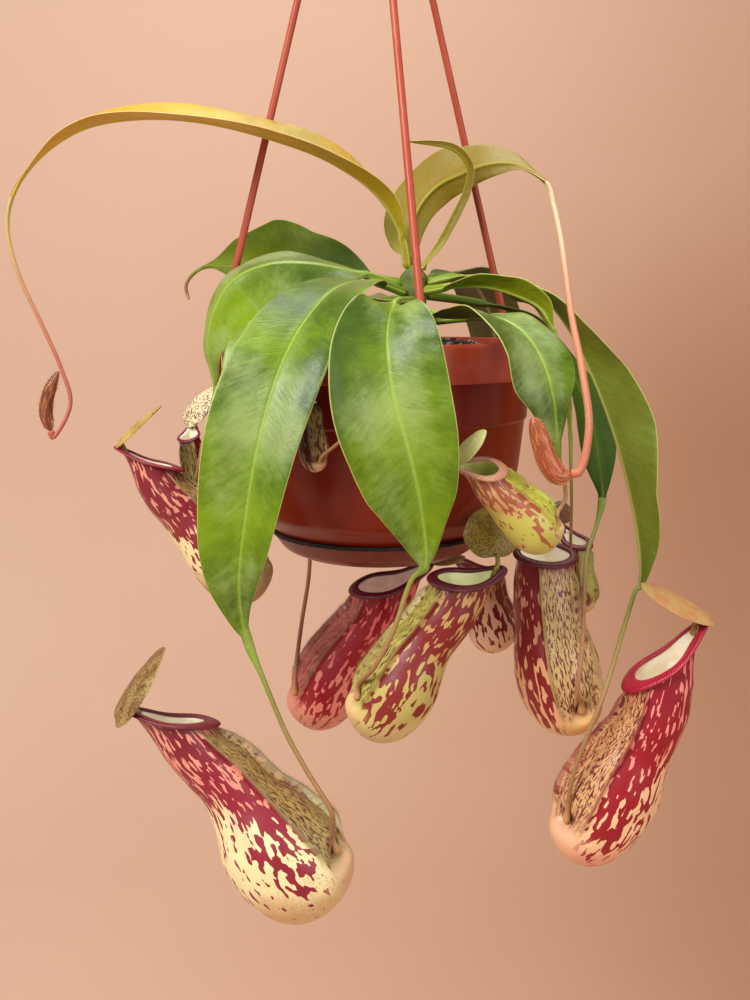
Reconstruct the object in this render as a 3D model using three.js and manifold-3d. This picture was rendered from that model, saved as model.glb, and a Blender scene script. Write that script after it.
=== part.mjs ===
// A hanging potted pitcher plant: bowl pot, drip saucer, soil, one moulded hanger, leaves that end
// in tendrils, and the pitchers that grow on them. Millimetres, +Z up, the front is -Y.
// The origin is the inside of the hook, where the hanger rests on its bar. Every height in the
// tables below is counted from the pot's rim, and the whole part is lowered by HOOK_RISE at the end.
import * as THREE from "three";
import { mergeVertices } from "three/addons/utils/BufferGeometryUtils.js";
import Module from "manifold-3d";

const HOOK_RISE = 320; // from the pot's rim up to where the hook bears on its bar
const SEAT = 0.3; // clearance between pieces that touch
const POT_RIM_R = 77;
const POT_BAND = 17.5; // height of the band round the rim
const POT_STEP = 37; // depth of the small step under the band
const POT_H = 96;
const POT_WALL = 2.2;
const POT_FOOT_R = 50;
const DRAIN_R = 4;
const SAUCER_R = 54;
const SAUCER_H = 10;
const SOIL_TOP = -4;
const STRAND_R = 1.9;
const STRAND_TOP_R = 1.6;
const STRAND_TURNS = [-76, 30, 180]; // degrees round the pot, as the photograph shows them
const HOOK_R = 11; // inner radius of the hook's bend
const CROWN = { x: 17, y: 0, r: 6.5, top: 33 };
const EDGE_T = 0.36; // half thickness of a leaf at its edge
const RIB_T = 0.9; // half thickness at its midrib
const TENDRIL_R = 1.1;
const PITCHER_WALL = 1.3;
const PEAK = 0.45; // rise of the lip at the back, as a share of the mouth's radius
const FOLD_AT = 0.17; // share of a pitcher's length at which the tendril goes in
const LID_T = 0.7; // half thickness of a lid
const LATHE_SIDES = 36;

const wasm = await Module();
wasm.setup();
const V = (x, y, z) => new THREE.Vector3(x, y, z);
const mix = (a, b, t) => a + (b - a) * t;
const smooth = (t) => {
  const c = Math.min(1, Math.max(0, t));
  return c * c * (3 - 2 * c);
};

// Surfaces.

// A closed skin over a row of rings with equal point counts. A ring of one point is a pole.
function skin(rings) {
  const verts = [];
  const faces = [];
  const starts = rings.map((ring) => {
    const at = verts.length;
    verts.push(...ring);
    return at;
  });
  for (let i = 0; i + 1 < rings.length; i += 1) {
    const [a, b] = [starts[i], starts[i + 1]];
    const [na, nb] = [rings[i].length, rings[i + 1].length];
    const n = Math.max(na, nb);
    for (let j = 0; j < n; j += 1) {
      const k = (j + 1) % n;
      if (na > 1) faces.push([a + j, a + k, nb > 1 ? b + k : b]);
      if (nb > 1) faces.push([na > 1 ? a + j : a, b + k, b + j]);
    }
  }
  return toGeometry(verts, faces);
}

function toGeometry(verts, faces) {
  let volume = 0;
  for (const [a, b, c] of faces) volume += verts[a].dot(verts[b].clone().cross(verts[c]));
  const index = faces.flatMap(([a, b, c]) => (volume < 0 ? [a, c, b] : [a, b, c]));
  const g = new THREE.BufferGeometry();
  g.setAttribute("position", new THREE.Float32BufferAttribute(verts.flatMap((v) => v.toArray()), 3));
  g.setIndex(index);
  return g;
}

// Booleans.

function toSolid(geometry) {
  const g = geometry.clone();
  g.deleteAttribute("normal");
  g.deleteAttribute("uv");
  const m = mergeVertices(g, 1e-4);
  return new wasm.Manifold(
    new wasm.Mesh({
      numProp: 3,
      vertProperties: new Float32Array(m.attributes.position.array),
      triVerts: new Uint32Array(m.index.array),
    }),
  );
}

function fromSolid(solid) {
  const m = solid.getMesh();
  const g = new THREE.BufferGeometry();
  g.setAttribute("position", new THREE.BufferAttribute(new Float32Array(m.vertProperties), 3));
  g.setIndex(new THREE.BufferAttribute(new Uint32Array(m.triVerts), 1));
  return g;
}

const join = (...list) => fromSolid(list.map(toSolid).reduce((a, b) => a.add(b)));
const cut = (body, ...list) => fromSolid(list.map(toSolid).reduce((a, b) => a.subtract(b), toSolid(body)));

// Shared shapes.

function lathe(profile, sides = LATHE_SIDES) {
  const rings = profile.map(([r, z]) => {
    if (r === 0) return [V(0, 0, z)];
    return Array.from({ length: sides }, (_, j) => {
      const a = (2 * Math.PI * j) / sides;
      return V(r * Math.cos(a), r * Math.sin(a), z);
    });
  });
  return skin(rings);
}

// The direction across a curve: a hint made square to the tangent.
function squareTo(tangent, hint) {
  const v = hint.clone().addScaledVector(tangent, -hint.dot(tangent));
  return v.normalize();
}

// A round bar through points, with its radius changing from r0 to r1.
function bar(points, r0, r1, steps, sides = 6) {
  const curve = new THREE.CatmullRomCurve3(points, false, "centripetal");
  let side = V(0.3, 1, 0.2);
  const rings = [[curve.getPoint(0)]];
  for (let i = 0; i <= steps; i += 1) {
    const t = i / steps;
    const at = curve.getPoint(t);
    const tangent = curve.getTangent(t);
    side = squareTo(tangent, side);
    const other = tangent.clone().cross(side);
    const r = mix(r0, r1, t);
    rings.push(
      Array.from({ length: sides }, (_, j) => {
        const a = (2 * Math.PI * j) / sides;
        return at.clone().addScaledVector(side, r * Math.cos(a)).addScaledVector(other, r * Math.sin(a));
      }),
    );
  }
  rings.push([curve.getPoint(1)]);
  return skin(rings);
}

// Pot, saucer, soil and stem.

function makePot() {
  const t = POT_WALL;
  const body = lathe([
    [0, -POT_H],
    [POT_FOOT_R, -POT_H],
    [POT_FOOT_R + 2, -POT_H + 2],
    [62, -84],
    [69, -68],
    [72.3, -POT_STEP - 0.8],
    [73.3, -POT_STEP],
    [74.2, -POT_BAND],
    [POT_RIM_R, -POT_BAND],
    [POT_RIM_R + 0.6, -1.2],
    [POT_RIM_R - 0.6, 0],
    [POT_RIM_R - t - 0.6, 0],
    [74 - t, -POT_BAND],
    [72.3 - t, -POT_STEP],
    [69 - t, -68],
    [62 - t, -83],
    [POT_FOOT_R - 1, -POT_H + t + 0.4],
    [0, -POT_H + t + 0.4],
  ]);
  const holes = [0, 1, 2, 3].map((i) => {
    const a = (Math.PI / 2) * i + 0.4;
    const g = new THREE.CylinderGeometry(DRAIN_R, DRAIN_R, 12, 10);
    return g.rotateX(Math.PI / 2).translate(30 * Math.cos(a), 30 * Math.sin(a), -POT_H);
  });
  return cut(body, ...holes);
}

function makeSaucer() {
  const top = -POT_H - SEAT;
  return lathe([
    [0, top - SAUCER_H],
    [40, top - SAUCER_H],
    [48, top - 6.5],
    [SAUCER_R, top + 2.5],
    [SAUCER_R - 1.5, top + 2.5],
    [46.5, top - 4.6],
    [45, top - 0.1],
    [43, top - 0.1],
    [39.4, top - SAUCER_H + 2],
    [0, top - SAUCER_H + 2],
  ]);
}

function makeSoil() {
  const gap = POT_WALL + SEAT;
  const body = lathe([
    [0, -POT_H + gap + 0.4],
    [POT_FOOT_R - 1.5, -POT_H + gap + 0.4],
    [62 - gap - 0.3, -82.8],
    [69 - gap - 0.3, -67.8],
    [72.3 - gap - 0.3, -POT_STEP],
    [74 - gap - 0.5, SOIL_TOP - 1.5],
    [60, SOIL_TOP + 0.5],
    [34, SOIL_TOP + 4],
    [0, SOIL_TOP + 6],
  ], 26);
  const hole = new THREE.CylinderGeometry(CROWN.r + SEAT, CROWN.r + SEAT, 40, 14);
  return cut(body, hole.rotateX(Math.PI / 2).translate(CROWN.x, CROWN.y, SOIL_TOP));
}

function makeCrown() {
  const r = CROWN.r;
  const g = lathe([
    [0, SOIL_TOP - 19],
    [r * 0.6, SOIL_TOP - 18],
    [r, SOIL_TOP - 8],
    [r, CROWN.top - 4],
    [r * 0.85, CROWN.top],
    [0, CROWN.top],
  ], 14);
  return g.translate(CROWN.x, CROWN.y, 0);
}

// Hanger: three strands moulded with their hook.

function makeHanger() {
  const hub = V(-6, 0, HOOK_RISE - 34);
  const parts = STRAND_TURNS.map((deg) => {
    const a = (deg * Math.PI) / 180;
    const out = (r, z) => V(r * Math.cos(a), r * Math.sin(a), z);
    const r = POT_RIM_R + STRAND_R + SEAT + 0.7;
    return bar(
      [
        out(74.6 + SEAT + 0.4, -POT_BAND - SEAT - STRAND_R - 0.3),
        out(r - 1, -POT_BAND - SEAT - STRAND_R - 0.2),
        out(r, -POT_BAND + 1),
        out(r, -2),
        out(r, -2).lerp(hub, 0.05),
        out(r, -2).lerp(hub, 0.5),
        hub.clone(),
      ],
      STRAND_R,
      STRAND_TOP_R,
      12,
    );
  });
  const hookPoints = [V(-6, 0, HOOK_RISE - 38), V(-6, 0, HOOK_RISE - 28)];
  hookPoints.push(V(-11, 0, HOOK_RISE - 18));
  const bend = HOOK_R + 2.4;
  for (const deg of [190, 150, 110, 70, 30, -5, -30]) {
    const a = (deg * Math.PI) / 180;
    hookPoints.push(V(bend * Math.cos(a), 0, HOOK_RISE - HOOK_R + bend * Math.sin(a)));
  }
  const hook = bar(hookPoints, 2.6, 2.2, 18, 7);
  return join(hook, ...parts);
}

// Leaves.

const ACROSS = [-1, -0.5, 0, 0.5, 1]; // places across a blade, one edge to the other

// One leaf as a single skin: stalk, blade and tendril. A blade's widths are given for its two
// halves, its fold lifts both halves towards the upper face, and its edges wave.
function makeLeaf(spec) {
  const tail = spec.tendril ?? [];
  const points = [...spec.mid, ...tail].map((p) => V(...p));
  if (points[0].z < CROWN.top) {
    const out = V(points[1].x - CROWN.x, points[1].y - CROWN.y, 0).normalize();
    const rise = Math.abs(points[1].z - points[0].z) / points[1].distanceTo(points[0]);
    const away = CROWN.r + SEAT + (spec.stalkR ?? 2.2) * rise;
    points[0].set(CROWN.x, CROWN.y, points[0].z).addScaledVector(out, away);
  }
  if (spec.hold) points.push(...tendrilEnd(PITCHERS[spec.hold]));
  const curve = new THREE.CatmullRomCurve3(points, false, "centripetal");
  const last = points.length - 1;
  const bladeEnd = (spec.mid.length - 1) / last;
  const bladeSteps = spec.steps ?? 13;
  const tailSteps = bladeEnd < 1 ? (spec.tailSteps ?? 12) : 0;
  const stations = [];
  for (let i = 0; i <= bladeSteps; i += 1) stations.push([(bladeEnd * i) / bladeSteps, i / bladeSteps]);
  for (let i = 1; i <= tailSteps; i += 1) stations.push([mix(bladeEnd, 1, i / tailSteps), 1 + i / tailSteps]);

  const hints = spec.across.map((p) => V(...p));
  const peaks = [spec.peak ?? 0.45, spec.peak2 ?? spec.peak ?? 0.45];
  const power = spec.power ?? 1.5;
  const stalk = spec.stalk ?? 0;
  const widthAt = (f, full, start, peak) => {
    const g = (f - start) / (1 - start);
    if (g <= 0 || g >= 1) return 0;
    const a = peak * power;
    const b = (1 - peak) * power;
    return full * (g / peak) ** a * ((1 - g) / (1 - peak)) ** b;
  };
  const tailR = spec.tailR ?? TENDRIL_R;
  const endR = spec.endR ?? tailR;
  const rings = [];
  stations.forEach(([u, f], i) => {
    const at = curve.getPoint(u);
    const tangent = curve.getTangent(u);
    const h = Math.min(f, 1) * (hints.length - 1);
    const k = Math.min(Math.floor(h), hints.length - 2);
    const side = squareTo(tangent, hints[k].clone().lerp(hints[k + 1], h - k));
    const up = side.clone().cross(tangent);
    const inBlade = f <= 1 ? 1 - smooth((f - 0.9) / 0.1) : 0;
    const core = f <= 1 ? mix(spec.stalkR ?? 2.2, tailR, smooth(f / 0.6)) : mix(tailR, endR, f - 1);
    const fold = THREE.MathUtils.degToRad(mixList(spec.fold ?? [15, 15], Math.min(f, 1)));
    const wave = (spec.wave ?? 1.2) * Math.sin(Math.PI * Math.min(f, 1));
    const top = [];
    const under = [];
    ACROSS.forEach((j) => {
      const full = j < 0 ? spec.half[0] : spec.half[1];
      const start = j < 0 ? stalk : (spec.stalk2 ?? stalk);
      const w = Math.max(core, widthAt(f, full, start, peaks[j < 0 ? 0 : 1]));
      const spread = (w - core) / Math.max(full, 1);
      const reach = Math.abs(j) * w;
      const angle = fold * Math.min(1, spread * 2);
      const phase = (spec.waves ?? 3) * 2 * Math.PI * f + (j < 0 ? 0 : 1.7);
      const lift = reach * Math.sin(angle) + wave * spread * Math.abs(j) ** 3 * Math.sin(phase);
      const sideways = Math.sign(j) * reach * Math.cos(angle);
      const p = at.clone().addScaledVector(side, sideways).addScaledVector(up, lift);
      const round = core * [1, 0.85, 0.35][Math.round(Math.abs(j) * 2)];
      const flat = [RIB_T, 0.42, EDGE_T][Math.round(Math.abs(j) * 2)];
      const t = Math.max(EDGE_T, mix(round, flat, Math.min(1, spread * 6) * inBlade));
      const lean = Math.sign(j) * Math.sin(angle);
      const normal = up.clone().multiplyScalar(Math.cos(angle)).addScaledVector(side, -lean);
      top.push(p.clone().addScaledVector(normal, t));
      under.unshift(p.clone().addScaledVector(normal, -t));
    });
    rings.push([...top, ...under]);
    if (i === 0) rings.unshift([at.clone()]);
    if (i === stations.length - 1) rings.push([at.clone()]);
  });
  return skin(rings);
}

function mixList(list, t) {
  const x = t * (list.length - 1);
  const i = Math.min(Math.floor(x), list.length - 2);
  return mix(list[i], list[i + 1], x - i);
}

// Pitchers.

const SECTION = [0, 22, 33, 46, 90, 135, 180, 225, 270, 314, 327, 338]; // degrees from the front
const WING = [0, 0, 1, 0, 0, 0, 0, 0, 0, 0, 1, 0]; // where the two wings stand out

// Radius at share s of a pitcher's length: rounded base, belly, waist and throat.
function girth(spec, s) {
  const { belly, neck, mouth } = spec;
  const top = spec.bellyAt ?? 0.31;
  if (s < top) return Math.max(1.8, belly * Math.sqrt(1 - (1 - s / top) ** 2.5));
  if (s < 0.68) return mix(belly, neck, smooth((s - top) / (0.68 - top)));
  return mix(neck, mouth, smooth((s - 0.68) / 0.32));
}

// Depth of the fold low on the front, where the tendril goes in.
function foldDepth(spec, s) {
  return spec.belly * 0.13 * Math.exp(-(((s - FOLD_AT) / 0.05) ** 2));
}

// How far the foot bulges forward under the fold.
function toeSize(spec, s) {
  return spec.closed ? 0 : spec.belly * 0.13 * Math.exp(-(((s - 0.08) / 0.07) ** 2));
}

// A pitcher's axis as a curve from its foot to its mouth.
function axisCurve(spec) {
  return new THREE.CatmullRomCurve3(spec.axis.map((p) => V(...p)), false, "centripetal");
}

// The last points of the tendril that holds a pitcher: into the fold, or into a closed one's foot.
function tendrilEnd(spec) {
  const curve = axisCurve(spec);
  const s = spec.closed ? 0 : FOLD_AT;
  const at = curve.getPointAt(s);
  const tangent = curve.getTangentAt(s);
  if (spec.closed) return [3.2, SEAT + 0.1].map((d) => at.clone().addScaledVector(tangent, -d));
  const front = squareTo(tangent, V(...spec.front));
  const r = girth(spec, s) - foldDepth(spec, s) + toeSize(spec, s);
  const end = at.clone().addScaledVector(front, r + 1.35);
  const turn = spec.belly * 0.26;
  return [end.clone().addScaledVector(front, turn * 0.7).addScaledVector(tangent, turn), end];
}

// A ring square to the axis, sheared so that the mouth drops towards the front. The peak lifts the
// lip at the back, under the lid.
function pitcherRing(spec, curve, s, r, raise, wing, peak = 0) {
  const at = curve.getPointAt(s);
  const tangent = curve.getTangentAt(s);
  const front = squareTo(tangent, V(...spec.front));
  const other = tangent.clone().cross(front);
  const oblique = smooth((s - 0.45) / 0.55);
  const lean = spec.lean ?? 0;
  return SECTION.map((deg, i) => {
    const a = (deg * Math.PI) / 180;
    const back = Math.max(0, -Math.cos(a)) ** 4;
    const fold = deg === 0 && !spec.closed ? foldDepth(spec, s) : 0;
    const toe = toeSize(spec, s) * Math.max(0, Math.cos(a)) ** 2;
    const out = r + wing * WING[i] - fold + toe + peak * 0.4 * back;
    const tilt = spec.slope * Math.cos(a) + lean * Math.sin(a);
    return at
      .clone()
      .addScaledVector(front, out * Math.cos(a))
      .addScaledVector(other, out * Math.sin(a))
      .addScaledVector(tangent, raise + peak * back - oblique * r * tilt);
  });
}

function makePitcher(spec) {
  const curve = axisCurve(spec);
  const wingH = spec.belly * 0.1 + 0.6;
  const big = spec.belly > 15;
  const outer = spec.closed || !big
    ? [0.02, 0.08, FOLD_AT, 0.3, 0.5, 0.7, spec.closed ? 0.88 : 1]
    : [0.015, 0.07, FOLD_AT, 0.28, 0.4, 0.56, 0.74, 1];
  const rings = [[curve.getPointAt(0)]];
  for (const s of outer) {
    const end = spec.closed ? Math.sqrt(Math.max(0, 1 - Math.max(0, (s - 0.6) / 0.41) ** 2)) : 1;
    const r = girth(spec, s) * end;
    const wing = spec.closed ? 0 : wingH * smooth((s - 0.12) / 0.15);
    rings.push(pitcherRing(spec, curve, s, r, 0, wing));
  }
  if (spec.closed) {
    rings.push([curve.getPointAt(1)]);
    return skin(rings);
  }
  const lip = spec.lip;
  const peak = spec.mouth * PEAK;
  rings.push(pitcherRing(spec, curve, 1, spec.mouth + lip, 0, 0, peak * 0.8));
  rings.push(pitcherRing(spec, curve, 1, spec.mouth + lip * 0.5, lip * 0.9, 0, peak));
  rings.push(pitcherRing(spec, curve, 1, spec.mouth - lip * 0.7, lip * 0.1, 0, peak * 0.8));
  for (const s of big ? [0.9, 0.62, 0.4, 0.29] : [0.88, 0.55, 0.3]) {
    rings.push(pitcherRing(spec, curve, s, girth(spec, s) - PITCHER_WALL, 0, 0));
  }
  rings.push([curve.getPointAt(0.19)]);
  return join(skin(rings), ...makeLid(spec, curve));
}

// The lid is a thin domed disc on a short neck at the back of the mouth.
function makeLid(spec, curve) {
  const at = curve.getPointAt(1);
  const tangent = curve.getTangentAt(1);
  const front = squareTo(tangent, V(...spec.front));
  const r = spec.mouth + spec.lip * 0.2;
  const height = spec.slope * r + spec.mouth * PEAK * 0.8;
  const hinge = at.clone().addScaledVector(front, -r).addScaledVector(tangent, height);
  const { dir, face, long, wide, rise, reach } = spec.lid;
  const along = V(...dir).normalize();
  const normal = squareTo(along, V(...face));
  const across = along.clone().cross(normal);
  const neck = Math.max(1.2, spec.mouth * 0.12);
  const foot = hinge.clone().addScaledVector(tangent, -neck * 1.5 - spec.mouth * PEAK * 0.5);
  const start = hinge.clone().addScaledVector(tangent, rise ?? neck * 1.2).addScaledVector(along, neck);
  const centre = start.clone().addScaledVector(along, long * (reach ?? 0.92));
  const ringAt = (share, off) =>
    Array.from({ length: 10 }, (_, j) => {
      const a = (2 * Math.PI * j) / 10;
      return centre
        .clone()
        .addScaledVector(along, share * long * Math.cos(a))
        .addScaledVector(across, share * wide * Math.sin(a))
        .addScaledVector(normal, off - 0.12 * wide * share * share);
    });
  const disc = skin([
    [centre.clone().addScaledVector(normal, LID_T)],
    ringAt(1, LID_T * 0.6),
    ringAt(1, -LID_T * 0.6),
    [centre.clone().addScaledVector(normal, -LID_T)],
  ]);
  const stem = bar([foot, start, start.clone().addScaledVector(along, long * 0.35)], neck, neck * 0.7, 2, 5);
  return [disc, stem];
}

// The plant.
// axis: base to mouth. front: towards the wings. slope: drop of the mouth towards the front.

const PITCHERS = {
  pitcher_lower_left: {
    axis: [[-20, -87, -252], [-42, -87, -230], [-65, -87, -196], [-82, -87, -177], [-91, -87, -165]],
    belly: 26, neck: 14.5, mouth: 12, lip: 2, front: [0.8, -0.25, 0.6], slope: 0.85, lean: 0.4,
    lid: { dir: [0.56, 0.1, 0.82], face: [-0.86, -0.3, 0.5], long: 21, wide: 15, rise: 5.5, reach: 0.28 },
  },
  pitcher_lower_right: {
    axis: [[96, -35, -257], [112, -35, -229], [122, -36, -206], [132, -39, -181], [137, -42, -152]],
    belly: 23, neck: 17, mouth: 13.6, lip: 2.2, front: [-0.9, -0.45, 0.1], slope: 0.95, bellyAt: 0.36,
    lid: { dir: [-0.88, -0.2, 0.45], face: [0.4, -0.3, 0.9], long: 22, wide: 11, rise: 7.5, reach: 0.42 }, lean: -0.45,
  },
  pitcher_centre: {
    axis: [[-8, -70, -178], [8, -70, -157], [18, -69, -138], [32, -68, -119], [38, -66, -106]],
    belly: 18, neck: 13, mouth: 13, lip: 1.8, front: [-0.9, -0.3, 0.4], slope: 0.45,
    lid: { dir: [-0.15, 0.3, 0.95], face: [0.2, -0.9, 0.3], long: 12.5, wide: 13.5, reach: 1.1 }, lean: 0.12,
  },
  pitcher_centre_red: {
    axis: [[-38, -7, -197], [-27, -8, -178], [-15, -10, -156], [-1, -12, -137], [4, -15, -120]],
    belly: 18, neck: 14.5, mouth: 15, lip: 1.8, front: [-0.9, -0.3, 0.35], slope: 0.5,
    lid: { dir: [0.85, 0.5, 0.05], face: [0, 0, 1], long: 11, wide: 10 }, lean: -0.15,
  },
  pitcher_centre_right: {
    axis: [[99, -26, -194], [90, -25, -167], [85, -20, -141], [83, -15, -119], [82, -12, -105]],
    belly: 21, neck: 16.5, mouth: 15, bellyAt: 0.38, lip: 1.8, front: [0.3, -0.94, 0.05], slope: 0.45,
    lid: { dir: [-0.1, 0.6, 0.8], face: [0, -0.8, 0.6], long: 12, wide: 12 },
  },
  pitcher_back_right: {
    axis: [[106, 15, -144], [105, 16, -131], [104, 17, -116], [103, 18, -105]],
    belly: 9.5, neck: 7, mouth: 7.5, lip: 1.4, front: [0.5, -0.8, 0.1], slope: 0.5,
    lid: { dir: [-0.1, 0.6, 0.8], face: [0, -0.8, 0.6], long: 7, wide: 6 },
  },
  pitcher_back_centre: {
    axis: [[65, 18, -165], [60, 18, -151], [56, 17, -134], [53, 16, -120]],
    belly: 13, neck: 10, mouth: 10.5, lip: 1.7, front: [0.5, 0.6, 0.4], slope: 0.5,
    lid: { dir: [-0.8, 0.4, 0.1], face: [0, 0, 1], long: 8, wide: 8 },
  },
  pitcher_small_front: {
    axis: [[76, -80, -88], [67, -81, -78], [57, -83, -68], [50, -86, -60], [44, -88, -52]],
    belly: 11.8, neck: 9.5, mouth: 7.2, lip: 1.3, front: [0.75, -0.3, 0.6], slope: 0.7,
    lid: { dir: [0.66, 0, 0.75], face: [-0.6, -0.6, 0.5], long: 9.7, wide: 5, reach: 0.75 }, lean: -0.2,
  },
  pitcher_left: {
    axis: [[-57, -44, -120], [-70, -44, -104], [-87, -44, -83], [-100, -44, -67], [-106, -44, -55]],
    belly: 16.5, neck: 12, mouth: 9.5, lip: 1.4, front: [0.77, -0.3, 0.6], slope: 0.85,
    lid: { dir: [0.75, 0, 0.66], face: [-0.66, -0.1, 0.75], long: 15.5, wide: 8, rise: 3.5, reach: 0.6 }, lean: 0.33,
  },
  pitcher_small_left: {
    axis: [[-86, -20, -84], [-88, -20, -73], [-90, -20, -60], [-92, -20, -45]],
    belly: 7.5, neck: 6, mouth: 5.3, lip: 1, front: [-0.2, -1, 0.1], slope: 0.45,
    lid: { dir: [0.7, -0.1, 0.7], face: [-0.55, -0.6, 0.57], long: 12.8, wide: 8.5, rise: 5, reach: 0.4 },
  },
  pitcher_hidden: {
    axis: [[-27, -83, -54], [-29, -83, -44], [-30, -82, -34], [-31, -81, -24]],
    belly: 6, neck: 4.6, mouth: 4.8, lip: 0.9, front: [0.5, -0.8, 0.2], slope: 0.35,
    lid: { dir: [-0.1, 0.5, 0.85], face: [0, -0.9, 0.4], long: 5, wide: 5 },
  },
  pitcher_young_right: {
    axis: [[81, -94, -53], [76, -94, -54], [71, -94, -48], [68, -94, -40], [64, -94, -29]],
    belly: 4.6, neck: 4.2, mouth: 4, closed: true, front: [-0.8, 0, -0.5], slope: 0,
  },
  pitcher_bud_left: {
    axis: [[-159, -20, -43], [-161, -20, -34], [-159, -20, -24], [-154, -20, -14]],
    belly: 3.2, neck: 3, mouth: 2, closed: true, front: [1, 0, 0], slope: 0,
  },
};

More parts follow.
